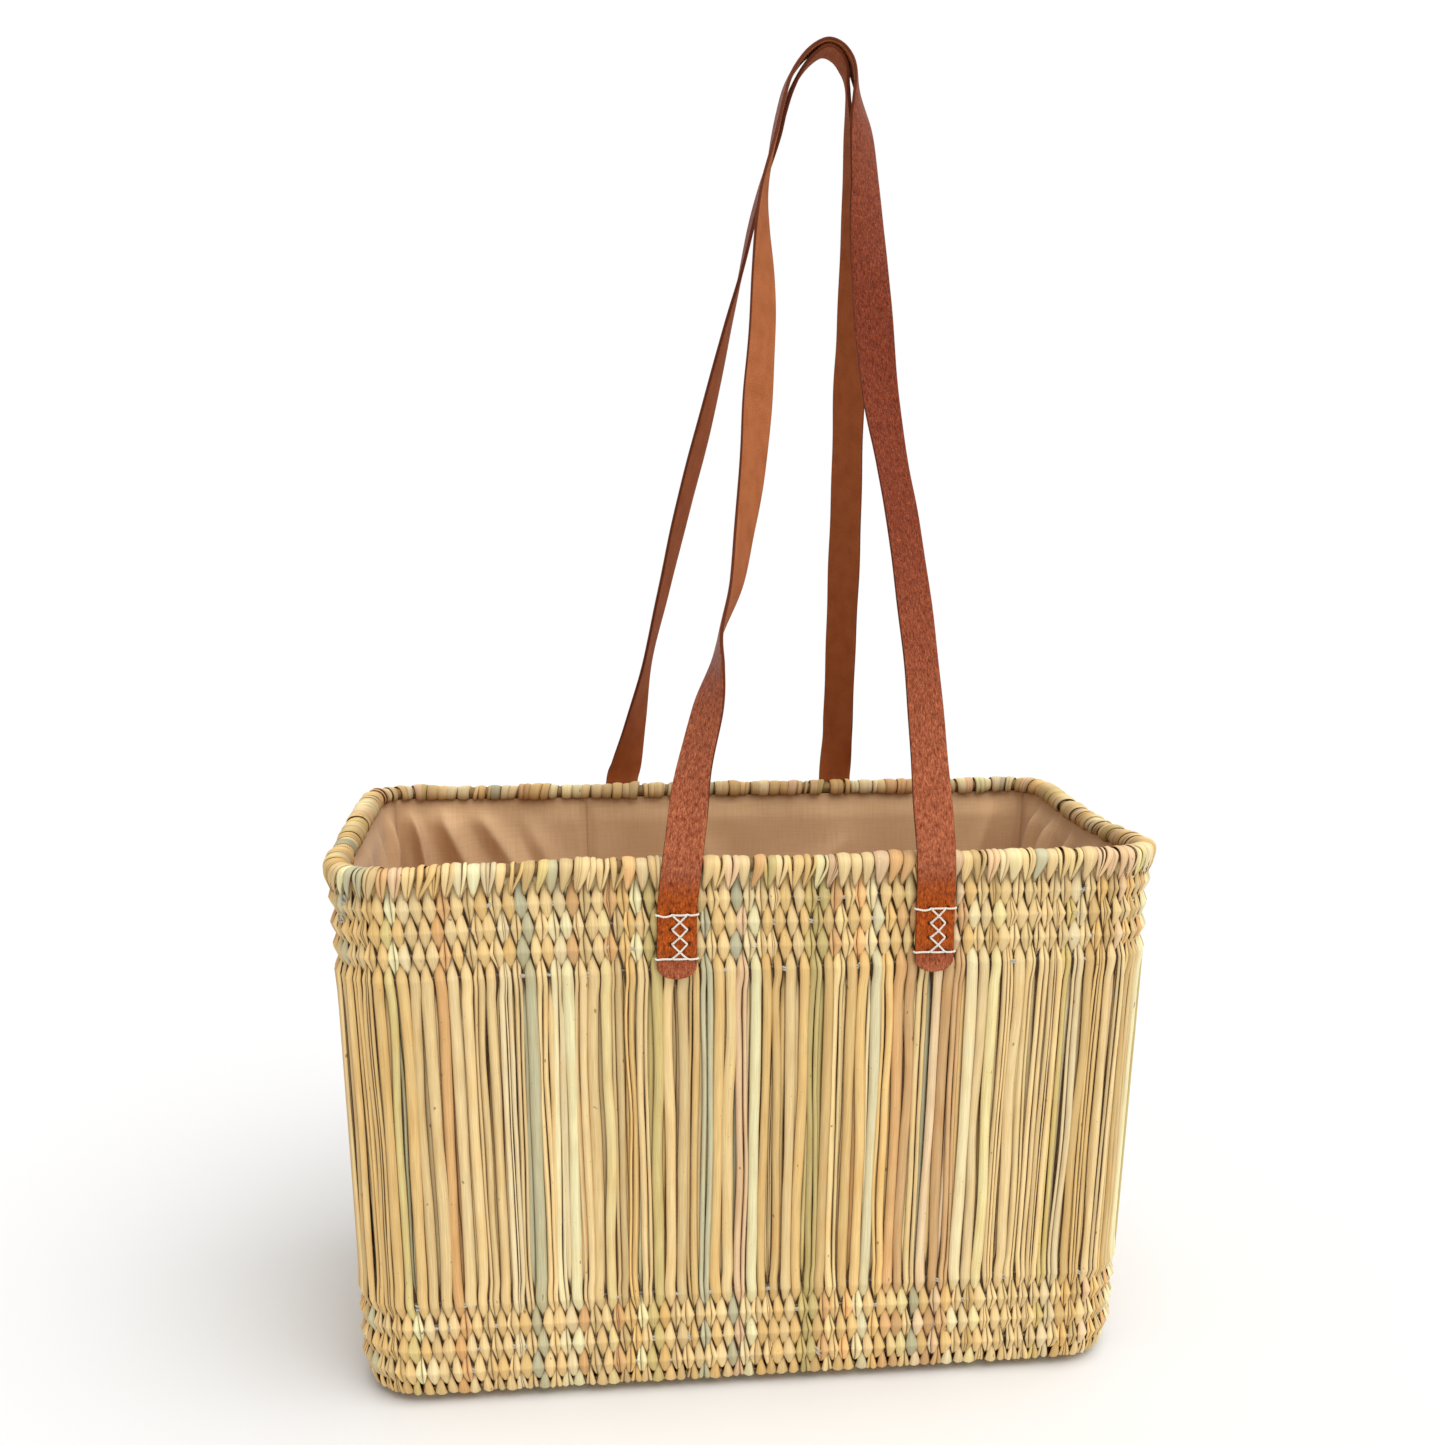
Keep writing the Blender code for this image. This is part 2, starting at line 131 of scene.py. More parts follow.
# Middle of each strap: across (x) and up (z) in mm, and the bearing of its width in degrees
FRONT_ROUTE = (
    (-41.3, 262.5, 0), (-39.2, 284, 0), (-36.4, 305, -10), (-32.8, 330, -34), (-25.2, 360, -50),
    (-20.5, 380.5, -78), (-17.5, 398, -98), (-9.5, 422, -114), (-4.6, 449, -125),
    (0.3, 478, -134), (4.5, 515, -142), (8.3, 552.7, -138), (9.7, 580, -131), (10.3, 606.6, -115),
    (12.2, 628, -103), (17.2, 651.6, -92), (21, 668.4, -90), (24.9, 681.8, -90), (30.5, 692, -90),
    (37.5, 699.7, -90), (45.8, 703.7, -90), (53.7, 701, -91), (59.5, 693.8, -94),
    (62.1, 684, -100), (63.4, 673.5, -115), (64.5, 657.7, -134), (65.5, 629, -150),
    (65.5, 605.6, -166), (66.2, 581, -184), (67.3, 546.6, -183), (69.2, 515, -170),
    (73.4, 482, -160), (77.8, 449.7, -158), (83.5, 386.3, -164), (86.8, 324, -176),
    (88.9, 286, -180), (89.5, 262.5, -180),
)
BACK_ROUTE = (
    (-60, 262.5, 180), (-58.8, 288, 181), (-55.8, 300, 196), (-51, 325, 226), (-44.2, 363.6, 253),
    (-34.5, 410, 248), (-24, 460, 242), (-12.2, 510.4, 243), (-1.3, 561.6, 256), (4.8, 589, 266),
    (9.8, 614.5, 271), (15, 635, 271), (21.4, 655, 270), (24.3, 668, 270), (27.8, 679.5, 270),
    (32.7, 689.3, 270), (39.1, 696.8, 270), (45.8, 700.6, 270), (52.3, 698.1, 269),
    (56.7, 691.8, 266), (58.8, 684, 260), (60, 673.5, 263), (61.6, 657.7, 272),
    (64.2, 633.6, 283), (66.4, 613.4, 296), (68.2, 589.8, 306), (70.1, 555.5, 315),
    (71, 522.8, 322), (74.9, 448.8, 324), (77.8, 369.4, 329), (78.9, 330, 325), (79.2, 312, 325),
    (78.6, 288, 358), (78.5, 262.5, 360),
)

# Reed colours (sRGB, 0 to 255) and how often each one comes
REED_COLOURS = (
    ((218, 191, 137), 0.38), ((212, 179, 118), 0.22), ((227, 207, 161), 0.15),
    ((208, 167, 114), 0.08), ((214, 183, 144), 0.08), ((180, 175, 141), 0.05),
    ((198, 178, 116), 0.04),
)

# Studio
SKY_LIGHT = 0.60
SUN_LIGHT = 2.50
SUN_ANGLE = 60
SUN_PLACE = (0.58, -0.70, 2.2)
FLOOR_HALF = 9
FLOOR_DROP = 0.0004
CAMERA_PLACE = (-0.0984, -0.7963, 0.4535)
CAMERA_YAW, CAMERA_PITCH, CAMERA_ROLL = -6.55, -8.03, 0.36
CAMERA_LENS = 35.875


def linear(colour):
    share = np.array(colour, float) / 255
    return np.where(share <= 0.04045, share / 12.92, ((share + 0.055) / 1.055) ** 2.4)


def rgb(*colour):
    return (*linear(colour).tolist(), 1.0)


def smoothstep(value, low, high):
    share = np.clip((value - low) / (high - low), 0, 1)
    return share * share * (3 - 2 * share)


def unit(vectors):
    return vectors / np.linalg.norm(vectors, axis=1)[:, None]


# Material nodes

class Tree:
    """A material's node tree, with short calls to add and link nodes."""

    def __init__(self, name):
        self.material = bpy.data.materials.new(name)
        self.material.use_nodes = True
        self.tree = self.material.node_tree
        self.shader = self.tree.nodes["Principled BSDF"]

    def set(self, socket, value):
        if isinstance(value, bpy.types.NodeSocket):
            self.tree.links.new(value, socket)
        else:
            socket.default_value = value

    def node(self, kind, settings=None, **inputs):
        made = self.tree.nodes.new("ShaderNode" + kind)
        for key, value in (settings or {}).items():
            setattr(made, key, value)
        for key, value in inputs.items():
            self.set(made.inputs[key], value)
        return made

    def attribute(self, name, output="Fac"):
        return self.node("Attribute", {"attribute_name": name}).outputs[output]

    def math(self, operation, first, second=0.0):
        made = self.node("Math", {"operation": operation})
        self.set(made.inputs[0], first)
        self.set(made.inputs[1], second)
        return made.outputs[0]

    def stretched(self, vector, across, along):
        made = self.node("VectorMath", {"operation": "MULTIPLY"})
        self.set(made.inputs[0], vector)
        self.set(made.inputs[1], (across, along, 1.0))
        return made.outputs[0]

    def noise(self, vector, scale, detail=2.0, roughness=0.5, stretch=None):
        if stretch:
            vector = self.stretched(vector, *stretch)
        made = self.node("TexNoise", Vector=vector, Scale=scale, Detail=detail, Roughness=roughness)
        return made.outputs["Fac"]

    def remap(self, value, low, high, to_low, to_high, smooth=False):
        made = self.node("MapRange", Value=value)
        made.interpolation_type = "SMOOTHSTEP" if smooth else "LINEAR"
        for socket, number in zip(made.inputs[1:5], (low, high, to_low, to_high)):
            self.set(socket, number)
        return made.outputs[0]

    def mix(self, share, first, second, blend="MIX"):
        made = self.node("Mix", {"data_type": "RGBA", "blend_type": blend})
        self.set(made.inputs[0], share)
        self.set(made.inputs[6], first)
        self.set(made.inputs[7], second)
        return made.outputs[2]

    def times(self, first, second):
        return self.mix(1.0, first, second, "MULTIPLY")

    def ramp(self, value, low, high, first, second):
        """From the first colour at low to the second at high."""
        return self.mix(self.remap(value, low, high, 0.0, 1.0), first, second)

    def over(self, colour, mask, low, high, most, other, smooth=False):
        """colour, turning to most of another one as a mask goes from low to high."""
        return self.mix(self.remap(mask, low, high, 0.0, most, smooth), colour, other)

    def finish(self, colour, roughness, bump=None):
        """The finished material. bump is a height, its strength and its distance."""
        self.set(self.shader.inputs["Base Color"], colour)
        self.set(self.shader.inputs["Roughness"], roughness)
        if bump:
            made = self.node("Bump", Height=bump[0], Strength=bump[1], Distance=bump[2])
            self.set(self.shader.inputs["Normal"], made.outputs[0])
        return self.material


def reed_material():
    """Dry reed: long fibres, mottled patches, a few brown specks, and painted shade in the gaps and at the
    strand edges.
    """
    tree = Tree("reed")
    flow = tree.attribute("flow", "Vector")
    fibres = tree.noise(flow, 1500.0, 3.0, stretch=(1.0, 0.035))
    patches = tree.noise(flow, 90.0, stretch=(0.6, 0.35))
    specks = tree.noise(flow, 1100.0, 1.0, stretch=(1.0, 0.7))
    scars = tree.noise(flow, 330.0, 1.0, stretch=(1.0, 0.45))
    light = tree.remap(fibres, 0.3, 0.7, 0.86, 1.10)
    grey = tree.node("CombineColor", Red=light, Green=light, Blue=light).outputs[0]
    colour = tree.times(tree.attribute("tint", "Color"), grey)
    warm = tree.times(colour, (0.93, 0.82, 0.67, 1.0))
    colour = tree.over(colour, patches, 0.45, 0.72, 0.65, warm)
    colour = tree.over(colour, specks, 0.745, 0.79, 0.45, rgb(112, 78, 40), True)
    colour = tree.over(colour, scars, 0.765, 0.80, 0.65, rgb(120, 82, 44), True)
    # Painted shade: a dark brown copy of the colour, shown where the shade attribute is low
    dark = tree.times(colour, (0.25, 0.125, 0.035, 1.0))
    colour = tree.mix(tree.attribute("shade"), dark, colour)
    tree.shader.inputs["Specular IOR Level"].default_value = 0.3
    return tree.finish(colour, tree.remap(fibres, 0.3, 0.7, 0.42, 0.60), (fibres, 0.35, 0.00025))


def twine_material():
    """Off-white twine with a fibrous, slightly dirty surface."""
    tree = Tree("twine")
    flow = tree.attribute("flow", "Vector")
    hairs = tree.noise(flow, 4200.0, 3.0, stretch=(1.0, 0.2))
    dirt = tree.noise(flow, 60.0)
    colour = tree.ramp(hairs, 0.3, 0.7, rgb(150, 142, 128), rgb(226, 220, 206))
    colour = tree.over(colour, dirt, 0.4, 0.7, 0.5, rgb(168, 150, 118))
    return tree.finish(colour, 0.85, (hairs, 0.6, 0.0002))


def core_material():
    """The bundle of dry reed inside the rim, its straw colour painted darker as shade."""
    tree = Tree("rim_core_reed")
    fibres = tree.noise(tree.attribute("flow", "Vector"), 900.0, 3.0, stretch=(1.0, 0.05))
    colour = tree.mix(fibres, rgb(100, 74, 38), rgb(168, 136, 82))
    return tree.finish(colour, 0.8, (fibres, 0.5, 0.0004))


def lining_material():
    """Plain cotton: warp and weft bump, slubs, faint shade changes."""
    tree = Tree("cotton_lining")
    flow = tree.attribute("flow", "Vector")
    threads = []
    for axis in ("X", "Y"):
        bands = {"wave_type": "BANDS", "bands_direction": axis}
        made = tree.node("TexWave", bands, Vector=flow, Scale=820.0, Distortion=1.0, Detail=1.0)
        threads.append(made.outputs["Fac"])
    weave = tree.math("MAXIMUM", *threads)
    slubs = [tree.noise(flow, 900.0, stretch=stretch) for stretch in ((1.0, 0.06), (0.06, 1.0))]
    both = tree.math("MULTIPLY", tree.math("ADD", *slubs), 0.5)
    cloudy = tree.noise(flow, 22.0, 3.0)
    colour = tree.ramp(both, 0.3, 0.7, rgb(208, 168, 124), rgb(224, 186, 142))
    colour = tree.mix(tree.remap(weave, 0.2, 1.0, 0.35, 0.0), colour, rgb(174, 134, 94))
    colour = tree.over(colour, cloudy, 0.4, 0.7, 0.35, rgb(200, 156, 108))
    tree.shader.inputs["Sheen Weight"].default_value = 0.15
    tree.shader.inputs["Sheen Roughness"].default_value = 0.5
    return tree.finish(colour, 0.9, (tree.math("ADD", weave, both), 0.35, 0.00018))


def leather_material():
    """Vegetable-tanned strap: creased grain with a painted sheen, matte flesh side painted lighter where
    lit, dark cut edges, painted shade in the stitch holes.
    """
    tree = Tree("leather")
    flow = tree.attribute("flow", "Vector")
    side, painted_light_and_gloss, tan = (tree.attribute(name) for name in ("side", "painted_light_and_gloss", "tan"))
    fine = tree.noise(flow, 1250.0, 5.0, 0.60, stretch=(0.80, 0.32))
    wrinkles = tree.noise(flow, 520.0, 3.0, 0.55, stretch=(1.0, 0.42))
    creases = tree.mix(0.35, fine, wrinkles)
    cloudy = tree.noise(flow, 150.0, 3.0, stretch=(1.0, 0.6))
    nap = tree.noise(flow, 1900.0, 4.0, 0.65)
    cells = tree.node("TexVoronoi", {"feature": "DISTANCE_TO_EDGE"},
                      Vector=tree.stretched(flow, 0.85, 0.42), Scale=1150.0)
    pebbles = tree.remap(cells.outputs["Distance"], 0.0, 0.13, 0.0, 1.0, True)
    plain = tree.ramp(creases, 0.36, 0.62, rgb(90, 24, 1), rgb(138, 47, 3))
    # Painted sheen: the grain painted pale pink by height along the strap, where it would catch the light
    painted_sheen = tree.ramp(creases, 0.34, 0.60, rgb(136, 49, 15), rgb(232, 141, 97))
    orange = tree.ramp(creases, 0.36, 0.62, rgb(126, 44, 1), rgb(232, 110, 12))
    grain = tree.mix(tan, tree.mix(painted_light_and_gloss, plain, painted_sheen), orange)
    grain = tree.mix(tree.remap(pebbles, 0.0, 1.0, 0.28, 0.0), grain, rgb(96, 32, 6))
    dull = tree.times(grain, (0.66, 0.55, 0.46, 1.0))
    grain = tree.over(grain, cloudy, 0.42, 0.66, 0.25, dull)
    # The flesh side, painted lighter where it is lit and darker where it is in shade
    flesh = tree.mix(painted_light_and_gloss, tree.ramp(nap, 0.35, 0.65, rgb(132, 62, 27), rgb(172, 94, 48)),
                     tree.ramp(nap, 0.35, 0.65, rgb(162, 90, 48), rgb(198, 122, 74)))
    dull = tree.times(flesh, (0.74, 0.66, 0.58, 1.0))
    flesh = tree.over(flesh, cloudy, 0.40, 0.68, 0.6, dull)
    upward = tree.remap(side, -0.2, 0.2, 0.0, 1.0)
    edge = tree.remap(tree.math("ABSOLUTE", side), 0.25, 0.75, 1.0, 0.0, True)
    colour = tree.mix(edge, tree.mix(upward, flesh, grain), rgb(100, 44, 18))
    # Painted shade in the stitch holes
    colour = tree.mix(tree.attribute("shade"), rgb(40, 18, 10), colour)
    smooth = tree.mix(painted_light_and_gloss, (0.42, 0.42, 0.42, 1.0), (0.27, 0.27, 0.27, 1.0))
    rough = tree.mix(upward, (0.80, 0.80, 0.80, 1.0), smooth)
    rough = tree.mix(edge, rough, (0.6, 0.6, 0.6, 1.0))
    folds = [tree.math("MULTIPLY", wrinkles, 2.5), tree.math("MULTIPLY", pebbles, 0.6)]
    height = tree.mix(upward, nap, tree.math("ADD", fine, tree.math("ADD", *folds)))
    tree.shader.inputs["Specular IOR Level"].default_value = 0.17
    return tree.finish(colour, rough, (height, 0.85, 0.00048))


def thread_material():
    """Waxed off-white thread."""
    tree = Tree("waxed_thread")
    hairs = tree.noise(tree.attribute("flow", "Vector"), 5000.0, stretch=(1.0, 0.2))
    colour = tree.ramp(hairs, 0.3, 0.7, rgb(222, 212, 192), rgb(250, 246, 236))
    return tree.finish(colour, 0.5, (hairs, 0.4, 0.0001))


def floor_material():
    tree = Tree("studio_floor")
    cloudy = tree.noise(tree.node("TexCoord").outputs["Object"], 1.5)
    colour = tree.mix(cloudy, (0.772, 0.772, 0.772, 1.0), (0.780, 0.780, 0.780, 1.0))
    return tree.finish(colour, 0.9)


# Meshes

# How the attributes of points are stored; all others are plain numbers
KINDS = {"flow": ("FLOAT_VECTOR", "vector"), "tint": ("FLOAT_COLOR", "color")}


def signed_volume(points, faces):
    """Six times the volume that quads enclose; its sign says which way they face."""
    a, b, c, d = (points[faces[:, k]] for k in range(4))
    return float((a * np.cross(b, c)).sum() + (a * np.cross(c, d)).sum())


def make_piece(name, points, faces, material, attributes, body="basket"):
    mesh = bpy.data.meshes.new(name)
    mesh.from_pydata(points.reshape(-1, 3).tolist(), [], faces)
    mesh.materials.append(material)
    for key, values in attributes.items():
        kind, field = KINDS.get(key, ("FLOAT", "value"))
        values = np.asarray(values, np.float32).ravel()
        mesh.attributes.new(key, kind, "POINT").data.foreach_set(field, values)
    mesh.shade_smooth()
    piece = bpy.data.objects.new(name, mesh)
    bpy.context.scene.collection.objects.link(piece)
    if body:
        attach(piece, body)
    return piece


def tube_faces(strands, stations, around, closed_along=False):
    """Quads of many tubes whose points are numbered strand, station, around."""
    along = np.arange(stations if closed_along else stations - 1)[None, :, None]
    base = np.arange(strands)[:, None, None] * stations * around
    here = base + along * around
    ahead = base + (along + 1) % stations * around
    side = np.arange(around)[None, None, :]
    after = (side + 1) % around
    corners = (here + side, ahead + side, ahead + after, here + after)
    return np.stack(np.broadcast_arrays(*corners), -1).reshape(-1, 4)


def outward_faces(points, strands, stations, around, closed_along=False):
    """Quads and end caps of tubes, all facing out."""
    quads = tube_faces(strands, stations, around, closed_along)
    caps = []
    for first in range(0, 0 if closed_along else strands * stations * around, stations * around):
        last = first + (stations - 1) * around
        caps.append([first + k for k in range(around)])
        caps.append([last + k for k in reversed(range(around))])
    if signed_volume(points, quads) < 0:
        quads, caps = quads[:, ::-1], [cap[::-1] for cap in caps]
    return quads, caps


def tubes_piece(name, rings, material, attributes, closed_along=False, body="basket"):
    """A piece of closed tubes. rings has the shape strands, stations, around, 3."""
    points = rings.reshape(-1, 3)
    quads, caps = outward_faces(points, *rings.shape[:3], closed_along)
    return make_piece(name, points, quads.tolist() + caps, material, attributes, body)


# The unrolled wall

def half_sizes(height):
    scale = BASE_SCALE + (1 - BASE_SCALE) * height / BODY_HEIGHT
    return RIM_HALF_LENGTH * scale, RIM_HALF_DEPTH * scale


def wall_length(quarter):
    half_run = half_sizes(BODY_HEIGHT / 2)[quarter % 2]
    return 2 * (half_run - CORNER_RADIUS) + CORNER_RADIUS * math.pi / 2


def corner_share(quarter):
    """The share of a wall's length that each of its two half corners takes."""
    return CORNER_RADIUS * math.pi / 4 / wall_length(quarter)


def wall_point(quarter, share, height, inset):
    """Points on one wall; arrays work."""
    share, height, inset = np.broadcast_arrays(*(np.asarray(v, float) for v in (share, height, inset)))
    half_x, half_y = half_sizes(height)
    run, depth = (half_x, half_y) if quarter % 2 == 0 else (half_y, half_x)
    arc = corner_share(quarter)
    radius = CORNER_RADIUS - inset
    flat = run - CORNER_RADIUS
    left = np.radians(225 + 45 * share / arc)
    right = np.radians(315 - 45 * (1 - share) / arc)
    along = (share - arc) / (1 - 2 * arc)
    in_left, in_right = share < arc, share > 1 - arc
    x = np.where(in_left, -flat + radius * np.cos(left),
                 np.where(in_right, flat + radius * np.cos(right), (2 * along - 1) * flat))
    y_corner = np.where(in_left, np.sin(left), np.sin(right))
    y = np.where(in_left | in_right, -(depth - CORNER_RADIUS) + radius * y_corner, -(depth - inset))
    turn = math.pi / 2 * quarter
    cosine, sine = math.cos(turn), math.sin(turn)
    x, y = x * cosine - y * sine, x * sine + y * cosine
    return np.stack([x, y, height + hand_made(x, y) * np.clip(height / BODY_HEIGHT, 0, 1) ** 2], -1)


def hand_made(x, y):
    """How far the rim stands off level at a point of it."""
    corner = (np.abs(x) / RIM_HALF_LENGTH) ** 8
    back = smoothstep(y, -0.02, 0.09)
    sag = smoothstep(-x, 0.08, 0.20) * smoothstep(-y, -0.02, 0.09)
    dip = np.exp(-((x - 0.036) / 0.022) ** 2) * (y < 0)
    slack = smoothstep(x, 0.165, 0.205) * np.clip(1 - (y / 0.088) ** 2, 0, 1)
    wander = np.sin(x / 0.041 + 9 * y) + 0.6 * np.sin(x / 0.017 + 20 * y)
    down = FRONT_LEFT_SAG * sag + FRONT_DIP * dip + RIGHT_SAG * slack
    return (CORNER_RISE + BACK_CORNER_RISE * back) * corner - down + RIM_WANDER * wander


def wall_map(quarter, s, t, b):
    """From the unrolled wall to space: up the wall, and below it round the bottom edge."""
    bend = CURL_LIFT + CURL_RADIUS
    angle = np.clip((bend - t) / CURL_RADIUS, 0, math.pi / 2)
    flat = np.maximum(0, bend - t - CURL_RADIUS * math.pi / 2)
    height = np.where(t > bend, t, bend - CURL_RADIUS * np.sin(angle)) - b * np.sin(angle)
    inset = MID_INSET + CURL_RADIUS * (1 - np.cos(angle)) + flat - b * np.cos(angle)
    return wall_point(quarter, s / wall_length(quarter), height, inset)


# The reeds. A strand's section is a flat arch: across, rise and how bare of painted shade it is; its edges
# and back are painted dark as shade in the grooves.

SECTION_ACROSS = np.array([-1.0, -0.88, -0.48, 0.0, 0.48, 0.88, 1.0, 0.55, -0.55])
SECTION_RISE = np.where(np.arange(9) < 7, 1 - np.abs(SECTION_ACROSS) ** 1.9, -0.45)
SECTION_SHADE = np.array([0.0, 0.74, 0.97, 1.0, 0.97, 0.74, 0.0, 0.0, 0.0])


def strand_stations():
    steps = np.array([0.0, 0.06, 0.19, 0.35, 0.5, 0.65, 0.81, 0.94]) * ROW_PITCH
    low = [row + step for row in CURL_ROWS + LOWER_ROWS for step in steps]
    high = [row - step for row in UPPER_ROWS + [RIM_ROW] for step in steps]
    middle = np.linspace(max(low), min(high), 15)[1:-1].tolist()
    kept = [t for t in low + middle + high if STRAND_LOW < t < STRAND_HIGH]
    return np.array(sorted([STRAND_LOW, STRAND_HIGH] + kept))


STATIONS = strand_stations()
MIDDLE_BAND = smoothstep(STATIONS, LOWER_ROWS[3], LOWER_ROWS[3] + 0.016) * (
    1 - smoothstep(STATIONS, UPPER_ROWS[0] - 0.016, UPPER_ROWS[0]))


def wave_of(family):
    """Where a reed runs: 1 in front of the twine, -1 behind it."""
    level = [1.0 if row in OVER_ROWS[family] else -1.0 for row in ALL_ROWS]
    level[-1] = RIM_LEVELS[family]
    low, high = LOWER_ROWS[3], UPPER_ROWS[0]
    knots = np.concatenate([ALL_ROWS, [low + STAVE_START, (low + high) / 2, high - STAVE_START]])
    values = np.array(level + [STAVE_LEVELS[family]] * 3)
    order = np.argsort(knots)
    return np.interp(STATIONS, knots[order], values[order])


def float_width(distance):
    """Half the width of a reed near the row where it runs in front."""
    return FLOAT_HALF_WIDTH * (1 - np.clip(distance / ROW_PITCH, 0, 1) ** 1.03)


def lean_of(family):
    """How far a reed swings sideways: each float leans, and it comes back behind the twine."""
    turn = (STATIONS - UPPER_ROWS[0 if family else 1]) / ROW_PITCH * math.pi
    low_turn = (STATIONS - LOWER_ROWS[3 if family else 2]) / ROW_PITCH * math.pi
    upper = STATIONS > (UPPER_ROWS[0] + LOWER_ROWS[3]) / 2
    return FLOAT_LEAN * -np.sin(np.where(upper, turn, low_turn)) * (1 - MIDDLE_BAND)


WAVES = [wave_of(family) for family in (0, 1)]
LEANS = [lean_of(family) for family in (0, 1)]


def row_noise(rng, spread):
    """A value that changes at each row only, so that every float differs a little."""
    return np.interp(STATIONS, ALL_ROWS, rng.normal(0, spread, len(ALL_ROWS)))


def slow_noise(rng, spread, length):
    phase = rng.uniform(0, TURN, 2)
    slow = np.sin(STATIONS / length * TURN + phase[0])
    quick = np.sin(STATIONS / length * 2.3 * TURN + phase[1])
    return spread * (slow + 0.35 * quick)


def reed_widths(rng, family):
    distance = np.min([np.abs(STATIONS - row) for row in OVER_ROWS[family]], axis=0)
    diamonds = float_width(distance) * (1 + row_noise(rng, 0.10))
    low, high = LOWER_ROWS[3], UPPER_ROWS[0]
    if not family:
        past_last = (STATIONS - UPPER_ROWS[3]) / (1.45 * ROW_PITCH)
        top = FLOAT_HALF_WIDTH * (1 - np.clip(past_last, 0, 1))
        diamonds = np.where(STATIONS > UPPER_ROWS[3], top, diamonds)
    stave = np.clip(rng.normal(STAVE_HALF_WIDTHS[family], 0.25), 1.7, 3.1) * MM
    stave = stave * (1 + slow_noise(rng, 0.05, 0.11))
    middle = ((STATIONS >= low) & (STATIONS <= high)) if family else MIDDLE_BAND
    ends = np.minimum(diamonds, stave) if family else diamonds * (1 - MIDDLE_BAND)
    near = (STATIONS > low - 0.9 * ROW_PITCH) & (STATIONS < high + 0.9 * ROW_PITCH)
    ends = np.where(near, ends, diamonds)
    return np.maximum(0.28 * MM, np.where(middle > 0, stave * middle + ends * (1 - middle), ends))


def pick_colours(rng, count):
    """Colours of neighbouring reeds: mostly free picks, sometimes like the last one."""
    table = np.array([linear(colour) for colour, _ in REED_COLOURS])
    weights = np.array([weight for _, weight in REED_COLOURS])
    picked = rng.choice(len(table), count, p=weights / weights.sum())
    keep = rng.random(count) < 0.22
    for index in range(1, count):
        if keep[index]:
            picked[index] = picked[index - 1]
    light = rng.normal(1.23, 0.08, (count, 1))
    hue = rng.normal(0.0, 0.015, (count, 1))
    hues = np.concatenate([1 + hue, np.ones_like(hue), 1 - 2 * hue], 1)
    return np.minimum(0.90, table[picked] * light * hues)


def split_reed(rng, shift=0.0):
    """Shares of a reed's width taken by its one, two or three strands."""
    draw = rng.random() - shift
    if draw < 0.54:
        return [1.0]
    if draw < 0.94:
        first = rng.uniform(0.28, 0.72)
        return [first, 1 - first]
    cuts = sorted(rng.uniform(0.25, 0.75, 2))
    return [cuts[0], max(0.15, cuts[1] - cuts[0]), 1 - cuts[1]]


def reed_strands(rng, middle, family, colour):
    """The strands of one reed: centre line, half width, depth, arch, tilt and colour."""
    width = reed_widths(rng, family)
    centre = middle + LEANS[family] + row_noise(rng, 0.42 * MM)
    centre = centre + MIDDLE_BAND * slow_noise(rng, 0.80 * MM, rng.uniform(0.14, 0.5))
    depth = WAVE * WAVES[family] + row_noise(rng, 0.20 * MM)
    depth = depth + MIDDLE_BAND * rng.normal(0, 0.55 * MM)
    shares = split_reed(rng)
    several = len(shares) > 1
    spread = rng.uniform(0.0, 0.5 * MM) * MIDDLE_BAND
    start, strands = -1.0, []
    for number, share in enumerate(shares):
        own = (start + share) * width + (number - (len(shares) - 1) / 2) * spread
        start += 2 * share
        half = np.maximum(0.22 * MM, width * share * (0.97 if several else 1.0))
        arch = np.minimum(half * (0.56 if share > 0.7 else 0.72), TOP_ARCH)
        tint = colour * rng.normal(1.0, 0.06)
        lift = rng.normal(0, 0.12 * MM) if several else 0.0
        wander = MIDDLE_BAND * slow_noise(rng, 0.12 * MM, 0.09)
        strands.append((centre + own + wander, half, depth + lift, arch, rng.normal(0, 0.07), tint))
    return strands


def weave_rings(quarter, strands):
    centre, half, depth, arch = (np.array([strand[k] for strand in strands]) for k in range(4))
    tilt = np.array([strand[4] for strand in strands])[:, None, None]
    across = SECTION_ACROSS * half[:, :, None]
    b = depth[:, :, None] + SECTION_RISE * arch[:, :, None] + tilt * across
    t = np.broadcast_to(STATIONS[None, :, None], b.shape)
    return wall_map(quarter, centre[:, :, None] + across, t, b), across, t


def strand_attributes(rng, tints, across, t, level):
    offset = rng.uniform(0, 10, len(across))[:, None, None]
    flow = np.stack(np.broadcast_arrays(across, t, offset), -1)
    tints = np.concatenate([np.array(tints), np.ones((len(tints), 1))], 1)
    tint = np.broadcast_to(tints[:, None, None, :], across.shape + (4,))
    # Painted shade: darker at the strand edges and back, and by each station's level
    shade = np.broadcast_to(level[:, :, None] * SECTION_SHADE, across.shape)
    return {"flow": flow, "tint": tint, "shade": shade}


def weave_pieces(name):
    """The long walls are two pieces each, so that no piece has over 200,000 triangles."""
    if name in ("front", "back"):
        return ["weave_" + name + "_1", "weave_" + name + "_2"]
    return ["weave_" + name]


